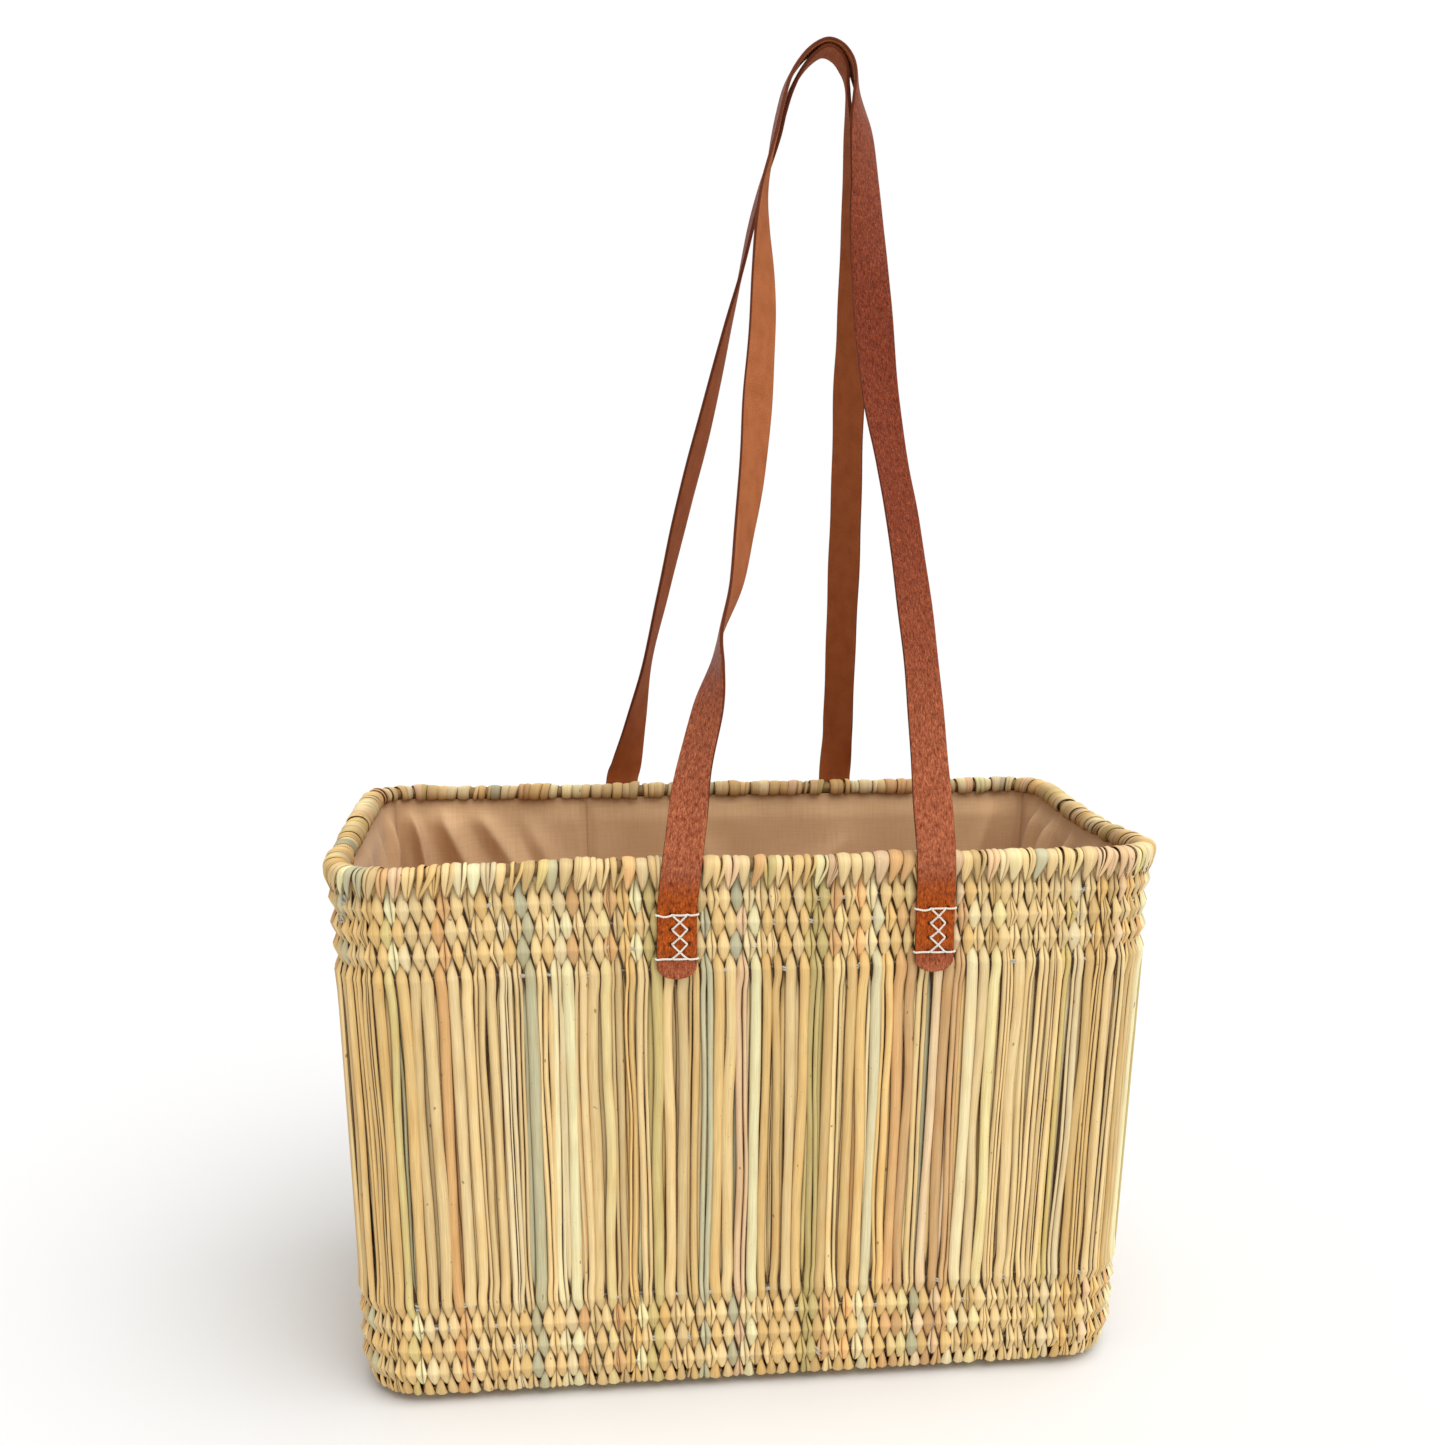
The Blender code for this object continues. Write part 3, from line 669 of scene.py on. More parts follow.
def add_weave(quarter, name, material, seed):
    rng = np.random.default_rng(seed)
    length = wall_length(quarter)
    count = 2 * round(length / REED_PITCH)
    colours = pick_colours(rng, count)
    strands, levels = [], []
    for index in range(count):
        family = index % 2
        made = reed_strands(rng, (index + 0.5) * length / count, family, colours[index])
        strands += made
        # Painted shade, darker where the reed runs deep behind the twine
        levels += [0.42 + 0.58 * smoothstep(WAVES[family], -1.0, -0.78)] * len(made)
    rings, across, t = weave_rings(quarter, strands)
    tints = [strand[5] for strand in strands]
    attributes = strand_attributes(rng, tints, across, t, np.array(levels))
    pieces = weave_pieces(name)
    for piece_name, part in zip(pieces, np.array_split(np.arange(len(strands)), len(pieces))):
        own = {key: values[part] for key, values in attributes.items()}
        piece = tubes_piece(piece_name, rings[part], material, own)
        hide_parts("reeds_" + name)


# The rim: reed ends folded over a core, along a path of (inset, height)

RIM_PATH = np.array([
    (1.6, 271.2), (0.4, 274.5), (-0.6, 278), (-1, 281.5), (-0.5, 284.8), (1.6, 286.8), (5, 287.4),
    (7.6, 286.8), (9.5, 285.3), (10.5, 283.3), (10.4, 281.5), (9.7, 280.3), (8.6, 279.6),
]) * MM
RIM_WIDTH = np.array([0.25, 1.25, 2.10, 2.80, 3.25, 3.30, 3.30, 3.25, 3.1, 3.0, 2.95, 2.85, 2.6]) * MM
RIM_ARCH = np.array([0.3, 0.6, 0.8, 0.85, 0.8, 0.7, 0.7, 0.8, 0.9, 1.0, 1.0, 0.9, 0.3]) * MM
RIM_CORE_RADIUS = 3.1 * MM
RIM_CORE_DROP = 3.6 * MM
RIM_CORE_INSETS = (3.6 * MM, 6.2 * MM)


def refined(values, steps):
    """Catmull-Rom through rows of values, with steps spans between neighbours."""
    values = np.asarray(values, float)
    if values.ndim == 1:
        values = values[:, None]
    padded = np.concatenate([values[:1], values, values[-1:]])
    share = np.arange(steps)[None, :, None] / steps
    a, b, c, d = (padded[k:k + len(values) - 1, None] for k in range(4))
    spans = 0.5 * (2 * b + (c - a) * share + (2 * a - 5 * b + 4 * c - d) * share ** 2
                   + (3 * b - a - 3 * c + d) * share ** 3)
    return np.concatenate([spans.reshape(-1, values.shape[1]), values[-1:]])


def line_length(line):
    return np.concatenate([[0], np.cumsum(np.linalg.norm(np.diff(line, axis=0), axis=1))])


def rim_strands(rng, quarter, middle, colour, path, width, arch):
    """One lump's strands, each as (points, across, along, colour)."""
    tangent = unit(np.gradient(path, axis=0))
    normal = np.stack([-tangent[:, 1], tangent[:, 0]], 1)
    along = line_length(path)
    lean = rng.normal(2.6 if quarter == 3 else 1.6, 0.9) * MM
    swell = rng.normal(0, 0.38) * MM
    widen = 1 + rng.normal(0.08, 0.10)
    shares = split_reed(rng, 0.30 if quarter == 2 else -0.14)
    start, made = -1.0, []
    for share in shares:
        own = start + share
        start += 2 * share
        half = np.maximum(0.2 * MM, width * widen * share * 0.98)
        rise = np.minimum(arch, half * 0.62) if len(shares) > 1 else arch
        lift = swell * smoothstep(along, 0.004, 0.010) + rng.normal(0, 0.15 * MM)
        cross = rng.normal(0, 0.7 * MM) * smoothstep(along, 0.002, 0.020)
        across = SECTION_ACROSS * half[:, None]
        b = lift[:, None] + SECTION_RISE * rise[:, None] + rng.normal(0, 0.08) * across
        slide = lean * (smoothstep(along, 0.0, 0.016) - 0.5) + lean * 0.8 * smoothstep(along, 0.018, 0.034)
        s = middle + (own * width * widen + slide + cross)[:, None] + across
        inset, height = (path[:, k][:, None] + normal[:, k][:, None] * b for k in (0, 1))
        points = wall_point(quarter, s / wall_length(quarter), height, inset)
        reach = np.broadcast_to(along[:, None], across.shape)
        made.append((points, across, reach, colour * rng.normal(1, 0.06)))
    return made


def add_rim(material, core):
    rng = np.random.default_rng(41)
    path = refined(RIM_PATH, 2)
    width, arch = (refined(values, 2)[:, 0] for values in (RIM_WIDTH, RIM_ARCH))
    made = []
    for quarter in range(4):
        length = wall_length(quarter)
        count = round(length / REED_PITCH)
        colours = pick_colours(rng, count)
        for index in range(count):
            middle = (2 * index + 1.5) * length / (2 * count) + rng.normal(0, 0.35) * MM
            made += rim_strands(rng, quarter, middle, colours[index], path, width, arch)
    rings, across, along, tints = (np.array([item[k] for item in made]) for k in range(4))
    reach = along[:, :, 0]
    # Painted shade where the lump comes out of the weave, on the rim's inner side and at its tucked end
    level = (0.35 + 0.60 * smoothstep(reach, 0.0, 0.004)) * (1 - 0.50 * smoothstep(reach, 0.019, 0.026))
    level = level * (1 - 0.55 * smoothstep(reach, 0.0295, 0.0325))
    piece = tubes_piece("rim_wrap", rings, material, strand_attributes(rng, tints, across, along, level))
    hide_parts("rim_binding")
    hoops = [(BODY_HEIGHT - RIM_CORE_DROP, inset) for inset in RIM_CORE_INSETS]
    filler = ring_tube("rim_filler", hoops, RIM_CORE_RADIUS, core, 14, 0.003)
    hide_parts("rim_core")


# Hoops round the body

def hoop_points(counts, height, inset):
    """Points round the whole body; height and inset are arrays of (stations, around)."""
    points, start = np.zeros(height.shape + (3,)), 0
    for quarter, count in enumerate(counts):
        here = slice(start, start + count)
        shares = (np.arange(count)[:, None] + 0.5) / count
        points[here] = wall_point(quarter, shares, height[here], inset[here])
        start += count
    return points


def ring_tube(name, hoops, radius, material, around, step, twist=None):
    """Closed tubes round the body at (height, inset); twist=(radius, lay) makes plies."""
    lengths = [wall_length(quarter) for quarter in range(4)]
    counts = [max(8, round(length / step)) for length in lengths]
    number_of = np.arange(sum(counts))
    angle = np.linspace(0, TURN, around, endpoint=False)
    rings, flows = [], []
    for number, (height, inset) in enumerate(hoops):
        for ply in range(2 if twist else 1):
            turn, off = np.zeros(len(number_of)), 0.0
            if twist:
                off = twist[0]
                turn = number_of / len(number_of) * round(sum(lengths) / twist[1]) * TURN + math.pi * ply
            z = height + off * np.sin(turn)[:, None] + radius * np.sin(angle)
            y = inset + off * np.cos(turn)[:, None] + radius * np.cos(angle)
            rings.append(hoop_points(counts, z, y))
            flow = (angle * radius, number_of[:, None] * step, np.full(z.shape, 3.7 * number + 1.3 * ply))
            flows.append(np.stack(np.broadcast_arrays(*flow), -1))
    return tubes_piece(name, np.array(rings), material, {"flow": np.array(flows)}, closed_along=True)


def add_twine(material):
    for band, rows in (("upper", UPPER_ROWS), ("lower", LOWER_ROWS)):
        hoops = [(row, MID_INSET + 1.3 * MM) for row in rows]
        piece = ring_tube("twine_" + band, hoops, 0.42 * MM, material, 5, 0.0007, (0.38 * MM, 0.0034))
        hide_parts(*["{}_cord_{}".format(band, n) for n in (1, 2, 3, 4)])


def add_knots(material):
    """Ends and turns of twine that show between the reeds, and loops at one corner."""
    rng = np.random.default_rng(58)
    lines = []
    turn = np.linspace(-1, 1, 9)
    rows = list(zip(UPPER_ROWS, (1, 0, 1, 0))) + list(zip(LOWER_ROWS, (0, 1, 0, 1)))[::-1]
    for quarter in range(4):
        length = wall_length(quarter)
        count = 2 * round(length / REED_PITCH)
        for row, family in rows:
            for index in rng.choice(count // 2, max(2, count // 14), replace=False):
                middle = (2 * index + family + 1.5) * length / count + rng.normal(0, 0.25 * MM)
                half, lean = rng.uniform(1.3, 2.2) * MM, rng.normal(0, 0.45)
                for step in (-0.45, 0.45):
                    t = row + rng.normal(0, 0.3 * MM) + step * MM + lean * half * turn
                    b = WAVE * 0.62 + 0.9 * MM * (1 - turn ** 2) + rng.normal(0, 0.1 * MM)
                    lines.append(wall_map(quarter, middle + half * turn, t, b))
    loops = ((0, 0.6 * MM, UPPER_ROWS[3] + 4.5 * MM),
             (3, wall_length(3) - 3.5 * MM, UPPER_ROWS[2] + 6.0 * MM))
    angle = np.linspace(-0.3, 1.75 * math.pi, 20)
    for quarter, s, t in loops:
        s = s + 1.5 * MM * np.sin(angle) * (1 + 0.2 * angle / 6)
        t = t + 1.9 * MM * np.cos(angle)
        lines.append(wall_map(quarter, s, t, WAVE + 0.9 * MM + 0.7 * MM * np.sin(2 * angle)))
    lines = [refined(line, 2) for line in lines]
    piece = twisted_piece("twine_knots", lines, 0.36 * MM, 0.26 * MM, 0.0026, material)


# The base

BASE_MARGIN = 12 * MM
BASE_ROWS = 6
BASE_WAVE = 0.72 * MM
BASE_MIDDLE = 2.55 * MM


def add_base(reed, twine):
    """The woven bottom: reeds from front to back over rows of twine."""
    rng = np.random.default_rng(77)
    half_x, half_y = half_sizes(0.0)
    rows = np.arange(-BASE_ROWS, BASE_ROWS + 1) * ROW_PITCH
    steps = np.array([0.0, 0.1, 0.3, 0.5, 0.7, 0.9]) * ROW_PITCH
    limit = half_y - 0.014
    stations = np.array([row + step for row in rows for step in steps])
    stations = np.concatenate([[-limit], stations[np.abs(stations) < limit - 0.0005], [limit]])
    count = 2 * round((half_x - BASE_MARGIN) / REED_PITCH)
    pitch = (half_x - BASE_MARGIN) / count
    colours = pick_colours(rng, 2 * count)
    centres, halves, depths = [], [], []
    for index in range(2 * count):
        over = np.where((np.arange(len(rows)) + index) % 2 == 0, 1.0, -1.0)
        distance = np.min([np.abs(stations - row) for row in rows[over > 0]], axis=0)
        halves.append(np.maximum(0.3 * MM, float_width(distance)) * rng.normal(1, 0.05))
        depths.append(BASE_WAVE * np.interp(stations, rows, over) + rng.normal(0, 0.05 * MM))
        wander = np.interp(stations, rows, rng.normal(0, 0.2 * MM, len(rows)))
        centres.append(-half_x + BASE_MARGIN + (index + 0.5) * pitch + wander)
    centre, half, depth = np.array(centres), np.array(halves), np.array(depths)
    across = SECTION_ACROSS * half[:, :, None]
    down = depth[:, :, None] + SECTION_RISE * np.minimum(half * 0.4, 0.8 * MM)[:, :, None]
    over_corner = np.clip((np.abs(centre) - half_x + CORNER_RADIUS) / CORNER_RADIUS, 0, 1)
    y = np.broadcast_to((stations * (1 - 0.30 * over_corner ** 2))[:, :, None], across.shape)
    rings = np.stack([centre[:, :, None] + across, y, BASE_MIDDLE - down], -1)
    # Painted shade, darker where the base reeds run deep
    level = 0.35 + 0.65 * smoothstep(depth / MM, -0.7, 0.2)
    piece = tubes_piece("weave_base", rings, reed, strand_attributes(rng, colours, across, y, level))
    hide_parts("base_reeds")
    lines = [[(x, row, 0.0026) for x in np.linspace(-0.19, 0.19, 330)] for row in rows]
    cord = twisted_piece("twine_base", lines, 0.40 * MM, 0.36 * MM, 0.0034, twine)
    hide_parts("base_cord_front", "base_cord_middle", "base_cord_back")


# Twisted cords along any line

def side_and_up(line):
    """Two directions square to a line at each of its points."""
    tangent = unit(np.gradient(line, axis=0))
    up = np.tile([0.0, 0.0, 1.0], (len(line), 1))
    up[np.abs(tangent[:, 2]) > 0.9] = [0.0, 1.0, 0.0]
    side = unit(np.cross(tangent, up))
    return side, np.cross(side, tangent)


def plies(line, offset, lay):
    """Two lines that wind round a line."""
    line = np.asarray(line, float)
    side, up = side_and_up(line)
    turn = line_length(line)[:, None] / lay * TURN
    turns = (turn, turn + math.pi)
    return [line + offset * (np.cos(turn) * side + np.sin(turn) * up) for turn in turns]


def twisted_piece(name, lines, radius, offset, lay, material, around=6):
    """A piece of two-ply cords along lines that may differ in length, thinner at their ends."""
    points, faces, flows, start = [], [], [], 0
    angle = np.linspace(0, TURN, around, endpoint=False)
    for number, line in enumerate(ply for line in lines for ply in plies(line, offset, lay)):
        side, up = side_and_up(line)
        size = np.full(len(line), radius)
        size[[0, -1]] *= 0.3
        out = np.cos(angle)[None, :, None] * side[:, None] + np.sin(angle)[None, :, None] * up[:, None]
        tube = (line[:, None, :] + out * size[:, None, None]).reshape(-1, 3)
        quads, caps = outward_faces(tube, 1, len(line), around)
        points.append(tube)
        flow = np.broadcast_arrays(angle * radius, line_length(line)[:, None], number * 1.7)
        flows.append(np.stack(flow, -1).reshape(-1, 3))
        faces += (quads + start).tolist() + [[index + start for index in cap] for cap in caps]
        start += len(tube)
    return make_piece(name, np.concatenate(points), faces, material, {"flow": np.concatenate(flows)})


# The lining. A fold runs from (s, z) to (s, z) with a width and a height, in mm.

LINING_FOLDS = {
    "front": ((50, 262, 90, 120, 10, 4), (200, 255, 230, 100, 14, 4), (330, 262, 300, 130, 11, 4)),
    "right": ((50, 276, 62, 130, 6, 9), (75, 272, 80, 120, 7, 7), (110, 276, 100, 140, 6, 10),
              (140, 275, 126, 150, 6, 13), (165, 276, 160, 140, 5, 10)),
    "back_right": ((30, 266, 60, 150, 8, 5), (120, 250, 190, 190, 13, 3), (220, 262, 160, 170, 14, 3)),
    "back_left": ((393, 273, 371, 205, 8, 10.5), (369, 275, 338, 200, 9, 12),
                  (346, 272, 303, 200, 10, 8.5), (318, 266, 285, 195, 12, 4.5)),
    "left": ((12, 270, 30, 190, 9, 8), (52, 268, 62, 150, 10, 6), (95, 266, 92, 140, 10, 5),
             (140, 264, 130, 130, 10, 5)),
}
LINING_TOP = 0.2800
LINING_LOW = 0.0086
CLOTH_THICKNESS = 0.7 * MM


def fold_ridge(s, z, fold):
    """A soft ridge of cloth between two points of the unrolled wall."""
    s0, z0, s1, z1, wide, high = (value * MM for value in fold)
    run = np.array([s1 - s0, z1 - z0])
    size = np.hypot(*run)
    along = ((s - s0) * run[0] + (z - z0) * run[1]) / size ** 2
    away = ((s - s0) * run[1] - (z - z0) * run[0]) / size
    inside = smoothstep(along, -0.12, 0.25) * (1 - smoothstep(along, 0.7, 1.25))
    spread = wide * (0.45 + 0.75 * np.clip(along, 0, 1))
    return high * inside * np.exp(-np.abs(away / spread) ** 1.5)


def lining_bulge(s, z, folds, seed):
    """How far the cloth stands in from the wall."""
    rng = np.random.default_rng(seed)
    bulge = np.zeros(s.shape)
    for fold in folds:
        bulge = np.maximum(bulge, fold_ridge(s, z, fold))
    for _ in range(7):
        pitch, tall = rng.uniform(0.05, 0.16), rng.uniform(0.08, 0.30)
        phase, sway = rng.uniform(0, 6.28), rng.uniform(-0.5, 0.5)
        bulge = bulge + 0.00045 * (1 + np.sin(TURN * (s + sway * z) / pitch + phase + z / tall))
    pinned = smoothstep(LINING_TOP - z, 0.0, 0.016) * smoothstep(z - LINING_LOW, 0.0, 0.012)
    return bulge * pinned


def add_cloth(name, points, flow, material):
    rows, columns, _ = points.shape
    index = np.arange((rows - 1) * columns).reshape(rows - 1, columns)[:, :-1]
    quads = np.stack([index, index + 1, index + columns + 1, index + columns], -1)
    quads = quads.reshape(-1, 4).tolist()
    piece = make_piece("lining_cloth_" + name, points, quads, material, {"flow": flow})
    solid = piece.modifiers.new("cloth", "SOLIDIFY")
    solid.thickness = CLOTH_THICKNESS
    solid.offset = 0.0
    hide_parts("lining_" + name)


def add_lining(material):
    half_run = half_sizes(BODY_HEIGHT)[0] - CORNER_RADIUS
    arc = corner_share(2)
    seam = arc + (-BACK_SEAM_X / half_run + 1) / 2 * (1 - 2 * arc)
    panels = (("front", 0, 0.0, 1.0), ("right", 1, 0.0, 1.0), ("back_right", 2, 0.0, seam),
              ("back_left", 2, seam, 1.0), ("left", 3, 0.0, 1.0))
    for number, (name, quarter, first, last) in enumerate(panels):
        length = wall_length(quarter)
        first, last = first * length, last * length
        s = np.linspace(first, last, max(40, round((last - first) / 0.0016)))
        s, z = np.meshgrid(s, np.linspace(LINING_LOW, LINING_TOP, 150))
        bulge = lining_bulge(s, z, LINING_FOLDS[name], 90 + number)
        curl = 0.0052 * np.clip((0.020 - z) / 0.012, 0, 1) ** 2
        ends = smoothstep(s - first, 0, 0.008) * smoothstep(last - s, 0, 0.008)
        points = wall_point(quarter, s / length, z, LINING_INSET + curl + bulge * ends)
        flow = np.stack([s, z, np.full(s.shape, 0.0)], -1)
        add_cloth(name, points, flow, material)
    add_lining_floor(material)


def add_lining_floor(material):
    inset = LINING_INSET + 0.0050
    limit_x, limit_y = (half - inset for half in half_sizes(LINING_LOW))
    u, v = np.meshgrid(np.linspace(-1, 1, 200), np.linspace(-1, 1, 100))
    radius = CORNER_RADIUS - inset
    x, y = u * limit_x, v * limit_y
    over_x = np.clip((np.abs(x) - (limit_x - radius)) / radius, 0, 1)
    y = y * (limit_y - radius * (1 - np.sqrt(1 - over_x ** 2 * 0.9999))) / limit_y
    wave = 0.6 * MM * (1 + np.sin(x / 0.037 + 2 * np.sin(y / 0.03)))
    wave = wave * (1 - np.maximum(np.abs(u), np.abs(v)) ** 6)
    points = np.stack([x, y, LINING_LOW - 0.4 * MM + wave], -1)
    flow = np.stack([x, y, np.full(x.shape, 5.0)], -1)
    add_cloth("base", points, flow, material)


# The leather handles

TOP_ACROSS = np.linspace(-0.965, 0.965, 41)
LOW_ACROSS = np.linspace(0.965, -0.965, 15)
STRAP_ACROSS = np.concatenate([TOP_ACROSS, [0.995, 1.0, 0.995], LOW_ACROSS, [-0.995, -1.0, -0.995]])
STRAP_RISE = np.concatenate([1 - 0.30 * np.abs(TOP_ACROSS) ** 10, [0.45, 0.0, -0.45],
                             -1 + 0.20 * np.abs(LOW_ACROSS) ** 10, [-0.45, 0.0, 0.45]])
STRAP_SIDE = np.concatenate([np.ones(41), [0, 0, 0], -np.ones(15), [0, 0, 0]])

# Height, then how far the grain is painted pale as sheen and made glossier, and how far it keeps its
# orange tan
SHEEN_AND_GLOSS_ZONES = (
    (0.225, 0.236, 0.240, 0.262, 0.272, 0.285, 0.330, 0.380, 0.450, 0.560, 0.640, 0.705),
    (0.65, 0.60, 0.20, 0.15, 0.35, 0.75, 0.65, 0.40, 0.18, 0.10, 0.22, 0.35),
)
TAN_ZONES = ((0.225, 0.234, 0.241, 0.262, 0.270, 0.280), (0.0, 0.1, 0.8, 0.9, 0.7, 0.0))
# How far each strap's flesh side is painted lighter: the front strap's as lit, the back strap's as in
# shade
FLESH_PAINTED_LIGHT = {-1: 0.75, 1: 0.10}


def tab_facts(name):
    """Middle x, middle y, lowest z and side of a sewn strap end."""
    low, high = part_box("strap_end_" + name)
    side = -1 if name.startswith("front") else 1
    return (low.x + high.x) / 2, (low.y + high.y) / 2, low.z, side


def strap_lean(height, sewn):
    over_rim = half_sizes(BODY_HEIGHT)[1] + RIM_PROUD + STRAP_STANDOFF + STRAP_THICKNESS / 2
    rise = np.clip((height - STRAP_LOOP_START) / (STRAP_LEAN_HEIGHT - STRAP_LOOP_START), 0, None)
    near = sewn + (over_rim - sewn) * np.sin(np.minimum(1.0, 1.6 * rise) * math.pi / 2)
    share = (height - STRAP_LEAN_HEIGHT) / (APEX_HEIGHT - STRAP_LEAN_HEIGHT)
    eased = 0.65 * share + 0.35 * share * share * (3 - 2 * share)
    return np.where(height < STRAP_LEAN_HEIGHT, near, over_rim * (1 - eased))


def tab_line(end, width):
    """A sewn end from below: a blunt round bottom, then straight. As strap_line()."""
    angle = np.radians(np.linspace(7, 90, 16))
    lowest = end[2]
    straight = np.arange(lowest + TAB_ROUND, STRAP_LOOP_START, 0.0006)[1:-1]
    heights = np.concatenate([lowest + TAB_ROUND * (1 - np.cos(angle)), straight])
    round_end = STRAP_HALF_WIDTH * np.sin(angle) ** 0.9
    halves = np.concatenate([round_end, np.full(len(straight), STRAP_HALF_WIDTH)])
    places = np.stack([np.full(len(heights), end[0]), np.full(len(heights), end[1]), heights], 1)
    return places, np.tile(width, (len(heights), 1)), halves


def strap_line(route, side, left, right):
    """Middle points, width directions and half widths from one sewn end to the other."""
    x, z, bearing = refined(np.array(route) * (MM, MM, 1), 14).T
    places = np.stack([x, side * strap_lean(z, abs(left[1])), z], 1)
    widths = np.stack([np.cos(np.radians(bearing)), np.sin(np.radians(bearing)), np.zeros(len(x))], 1)
    halves = np.full(len(x), STRAP_HALF_WIDTH)
    first, last = tab_line(left, widths[0]), tab_line(right, widths[-1])
    return [np.concatenate([a, b, c[::-1]]) for a, b, c in zip(first, (places, widths, halves), last)]


def stitch_holes(end):
    """(x, z) of the holes of one sewn end, as two columns."""
    heights = [STITCH_TOP - STITCH_ROW_PITCH * row for row in range(4)]
    middle = end[0] + STITCH_SHIFT
    return [[(middle + x, z) for z in heights] for x in (-STITCH_HALF_COLUMN, STITCH_HALF_COLUMN)]


def hole_depth(points, ends):
    """Share of a stitch hole at each point, 0 away from the holes."""
    depth = np.zeros(points.shape[:-1])
    for end in ends:
        for x, z in sum(stitch_holes(end), []):
            out = math.copysign(HOLE_OFFSET, x - end[0] - STITCH_SHIFT)
            away = (points[..., 0] - x - out) ** 2 + (points[..., 2] - z) ** 2
            depth = np.maximum(depth, np.exp(-away / HOLE_RADIUS ** 2))
    return depth


def add_strap(handle, route, side, material):
    rng = np.random.default_rng(11 if side < 0 else 12)
    ends = [tab_facts(handle + "_left"), tab_facts(handle + "_right")]
    places, widths, halves = strap_line(route, side, *ends)
    height = places[:, 2]
    tangent = unit(np.gradient(places, axis=0))
    tangent[height < STRAP_LOOP_START + 0.001, :2] = 0
    tangent = unit(tangent)
    flat = unit(widths - tangent * (widths * tangent).sum(1)[:, None])
    normal = np.cross(flat, tangent)
    along = line_length(places)
    free = smoothstep(height, 0.275, 0.330)
    phase = rng.uniform(0, 6.28, 6)
    edge = 0.25 * MM * free * (np.sin(along / 0.021 + phase[0]) + 0.6 * np.sin(along / 0.0083 + phase[1]))
    ripple = 0.10 * MM * free * (np.sin(along / 0.0061 + phase[2]) + np.sin(along / 0.0143 + phase[3]))
    cup = 0.35 * MM * free * np.sin(along / 0.060 + phase[4])
    across = STRAP_ACROSS * (halves + edge)[:, None]
    rise = STRAP_RISE * STRAP_THICKNESS / 2 + ripple[:, None] * (1 - STRAP_ACROSS ** 2)
    rise = rise + cup[:, None] * (STRAP_ACROSS ** 2 - 0.4)
    points = places[:, None] + flat[:, None] * across[..., None] + normal[:, None] * rise[..., None]
    sewn = (1 - smoothstep(height, 0.262, 0.264))[:, None]
    dent = hole_depth(points, ends) * (STRAP_SIDE > 0.5) * sewn
    points = points - normal[:, None] * (dent * HOLE_DEPTH)[..., None]
    layer = 2.0 + side + np.where(STRAP_SIDE < 0, 4.0, 0.0)
    flow = np.stack(np.broadcast_arrays(across, along[:, None], layer), -1)
    painted_light_and_gloss, tan = (np.interp(height, *zones)[:, None] for zones in (SHEEN_AND_GLOSS_ZONES, TAN_ZONES))
    painted_light_and_gloss = np.where(STRAP_SIDE > 0, painted_light_and_gloss, FLESH_PAINTED_LIGHT[side])
    # shade is painted shade in the stitch holes
    attributes = {"flow": flow, "shade": 1 - 0.9 * smoothstep(dent, 0.25, 0.8),
                  "side": np.broadcast_to(STRAP_SIDE, across.shape),
                  "painted_light_and_gloss": painted_light_and_gloss, "tan": np.broadcast_to(tan, across.shape)}
    piece = tubes_piece(handle + "_strap_leather", points[None], material, attributes, body=None)
    tabs = ["strap_end_" + handle + end for end in ("_left", "_right")]
    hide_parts(handle + "_handle_strap", *tabs)
    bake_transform(piece)


# The stitches

THREAD_RADIUS = 0.32 * MM
THREAD_TWIST = 0.24 * MM
THREAD_LAY = 2.3 * MM
THREAD_LIFT = 0.50 * MM
THREAD_SINK = 0.65 * MM
CROSSING_LIFT = 0.62 * MM


def stitch_path(start, end, y, side, bow, over=0.0):
    """One stitch from hole to hole, standing a little off the leather."""
    share = np.linspace(0, 1, 22)
    arc = np.sin(math.pi * share)
    x = start[0] + (end[0] - start[0]) * share
    z = start[1] + (end[1] - start[1]) * share + bow * arc
    lift = THREAD_LIFT * np.minimum(1, arc * 3.2) ** 0.6 - THREAD_SINK * (1 - np.minimum(1, arc * 4))
    lift = lift + over * np.exp(-((share - 0.5) / 0.16) ** 2)
    return np.stack([x, y + side * lift, z], 1)


def edge_path(hole, edge_x, y, side, bow):
    """A stitch from a hole to the strap's edge and round it."""
    share = np.linspace(0, 1, 20)
    x = hole[0] + (edge_x - hole[0]) * share
    z = hole[1] + bow * np.sin(math.pi * np.minimum(share * 1.1, 1))
    lift = THREAD_LIFT * np.minimum(1, share * 8) ** 0.6 - THREAD_SINK * (1 - np.minimum(1, share * 9))
    body = np.stack([x, y + side * lift, z], 1)
    out = math.copysign(0.55 * MM, edge_x - hole[0])
    turn = np.radians(np.linspace(18, 110, 6))
    depth = y + side * (THREAD_LIFT - 1.5 * MM * (1 - np.cos(turn)))
    wrap = np.stack([edge_x + out * np.sin(turn), depth, np.full(6, hole[1])], 1)
    return np.concatenate([body, wrap])


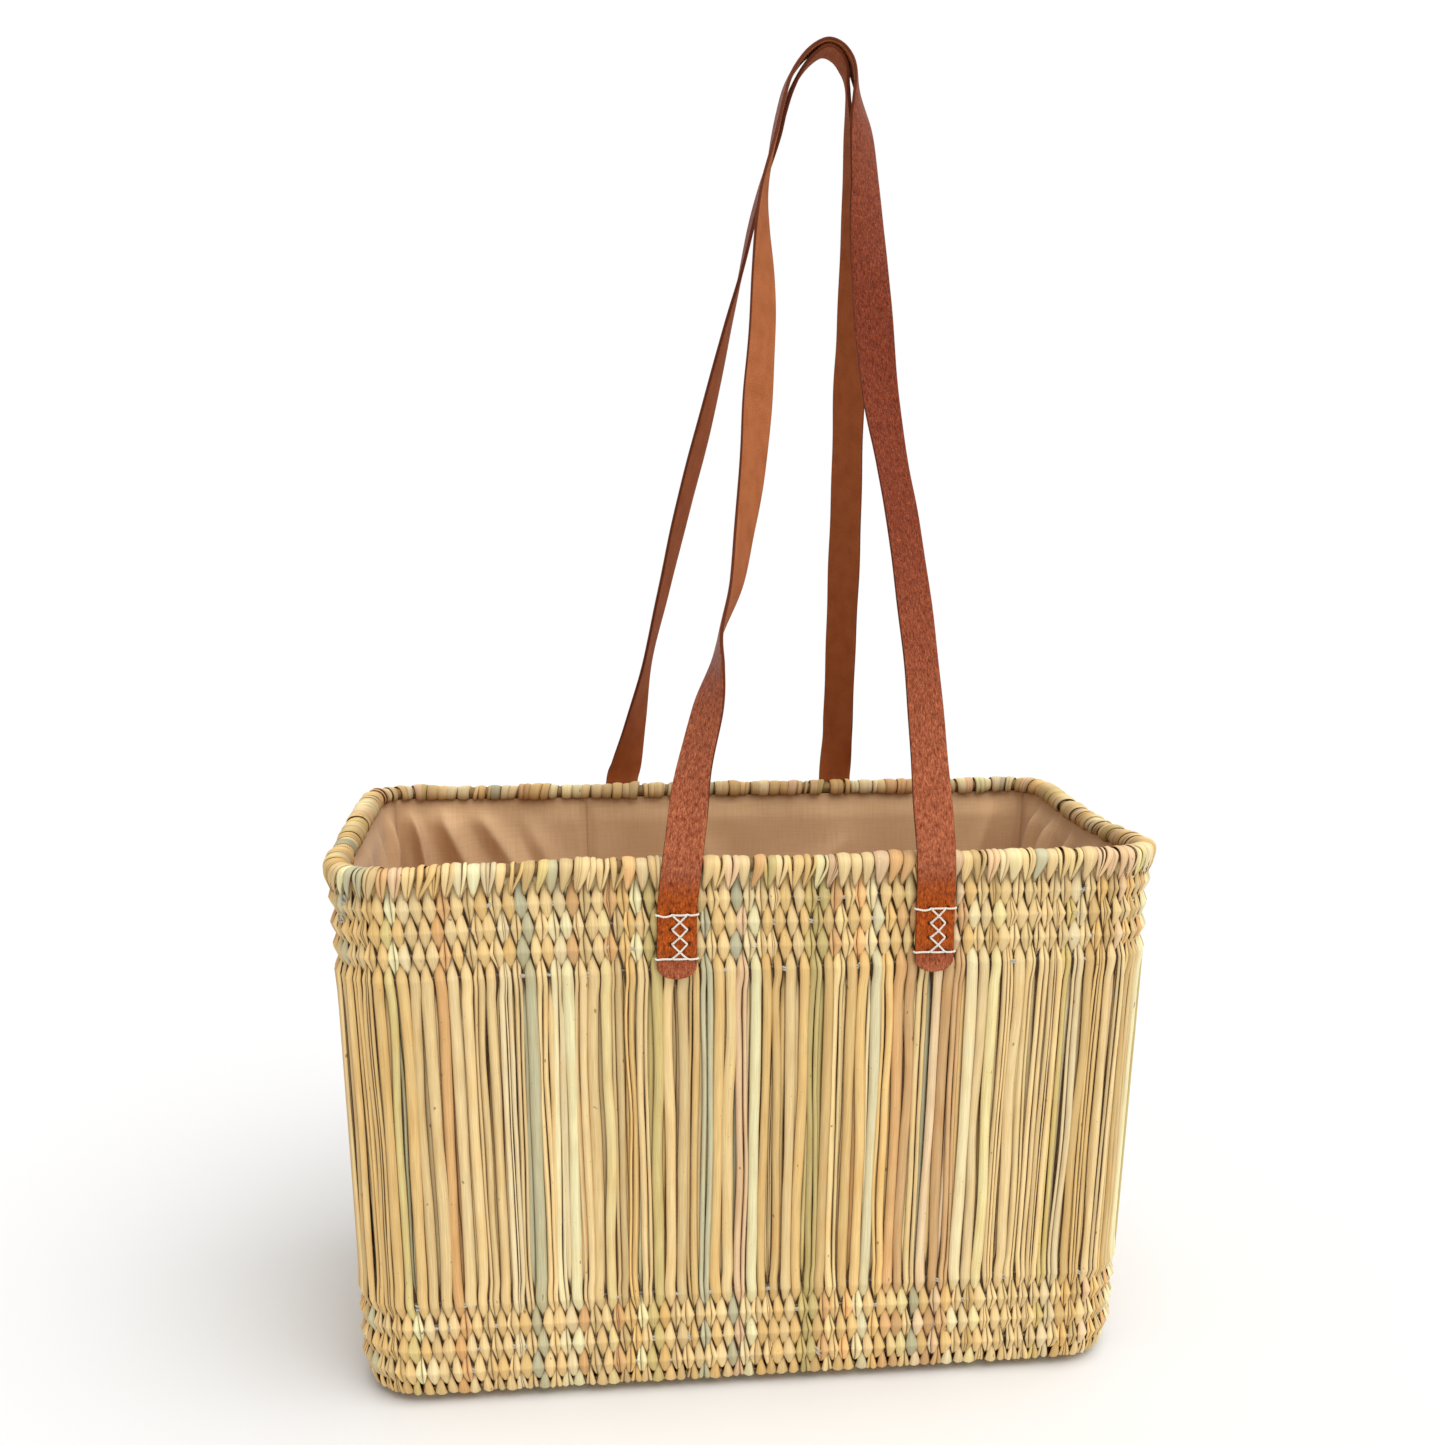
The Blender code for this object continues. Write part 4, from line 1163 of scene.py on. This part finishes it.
def add_stitches(name, material):
    rng = np.random.default_rng(len(name))
    middle, y, _, side = end = tab_facts(name)
    y = y + side * STRAP_THICKNESS / 2
    left, right = stitch_holes(end)
    lines = []
    for row, sag in ((0, -0.7), (3, 0.2)):
        sag = sag * MM + rng.normal(0, 0.1) * MM
        lines.append(edge_path(left[row], middle - STRAP_HALF_WIDTH, y, side, sag))
        sag = -0.2 * MM + rng.normal(0, 0.1) * MM
        lines.append(edge_path(right[row], middle + STRAP_HALF_WIDTH, y, side, sag))
        lines.append(stitch_path(left[row], right[row], y, side, rng.normal(0, 0.15) * MM, 0.25 * MM))
    for row in range(3):
        bow = rng.normal(0, 0.15, 2) * MM
        lines.append(stitch_path(left[row], right[row + 1], y, side, bow[0]))
        lines.append(stitch_path(left[row + 1], right[row], y, side, bow[1], CROSSING_LIFT))
    lines = [refined(line, 4) for line in lines]
    piece = twisted_piece("stitches_" + name, lines, THREAD_RADIUS, THREAD_TWIST, THREAD_LAY, material)
    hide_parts("thread_" + name)


# Studio

def add_sky():
    """White to the camera, and a softer white light on everything else."""
    world = bpy.data.worlds.new("studio")
    world.use_nodes = True
    nodes, links = world.node_tree.nodes, world.node_tree.links
    background = nodes["Background"]
    background.inputs[0].default_value = (1.0, 1.0, 1.0, 1.0)
    path = nodes.new("ShaderNodeLightPath")
    strength = nodes.new("ShaderNodeMapRange")
    strength.inputs[3].default_value = SKY_LIGHT
    strength.inputs[4].default_value = 1.0
    links.new(path.outputs["Is Camera Ray"], strength.inputs[0])
    links.new(strength.outputs[0], background.inputs[1])
    bpy.context.scene.world = world


def add_studio():
    scene = bpy.context.scene
    scene.view_settings.view_transform = "Standard"
    add_sky()
    sun = bpy.data.lights.new("sun", "SUN")
    sun.energy = SUN_LIGHT
    sun.angle = math.radians(SUN_ANGLE)
    item = bpy.data.objects.new("sun", sun)
    item.location = SUN_PLACE
    item.rotation_mode = "QUATERNION"
    item.rotation_quaternion = (Vector((0.0, 0.0, 0.2)) - item.location).to_track_quat("-Z", "Y")
    scene.collection.objects.link(item)
    mesh = bpy.data.meshes.new("floor")
    corners = [(x * FLOOR_HALF, y * FLOOR_HALF, 0) for x, y in ((-1, -1), (1, -1), (1, 1), (-1, 1))]
    mesh.from_pydata(corners, [], [(0, 1, 2, 3)])
    mesh.materials.append(floor_material())
    floor = bpy.data.objects.new("floor", mesh)
    floor.location.z = -FLOOR_DROP
    scene.collection.objects.link(floor)


def add_camera():
    """In front of the basket, a little left and above, looking down."""
    yaw, pitch, roll = (math.radians(angle) for angle in (CAMERA_YAW, CAMERA_PITCH, CAMERA_ROLL))
    ahead = Vector((-math.sin(yaw), math.cos(yaw), 0))
    across = Vector((math.cos(yaw), math.sin(yaw), 0))
    up_axis = Vector((0, 0, 1))
    forward = ahead * math.cos(pitch) + up_axis * math.sin(pitch)
    up = up_axis * math.cos(pitch) - ahead * math.sin(pitch)
    right = across * math.cos(roll) + up * math.sin(roll)
    up = up * math.cos(roll) - across * math.sin(roll)
    data = bpy.data.cameras.new("camera")
    data.lens = CAMERA_LENS
    data.sensor_width = 36.0
    camera = bpy.data.objects.new("camera", data)
    columns = (right, up, -forward, Vector(CAMERA_PLACE))
    rows = [[column[k] for column in columns] for k in range(3)]
    camera.matrix_world = Matrix(rows + [[0, 0, 0, 1]])
    bpy.context.scene.collection.objects.link(camera)
    bpy.context.scene.camera = camera


def main():
    reed, twine = reed_material(), twine_material()
    for quarter, name in enumerate(("front", "right", "back", "left")):
        add_weave(quarter, name, reed, 20 + quarter)
    add_rim(reed, core_material())
    add_twine(twine)
    add_knots(twine)
    add_base(reed, twine)
    add_lining(lining_material())
    leather, thread = leather_material(), thread_material()
    add_strap("front", FRONT_ROUTE, -1, leather)
    add_strap("back", BACK_ROUTE, 1, leather)
    for name in ("front_left", "front_right", "back_left", "back_right"):
        add_stitches(name, thread)
    add_studio()
    add_camera()


main()
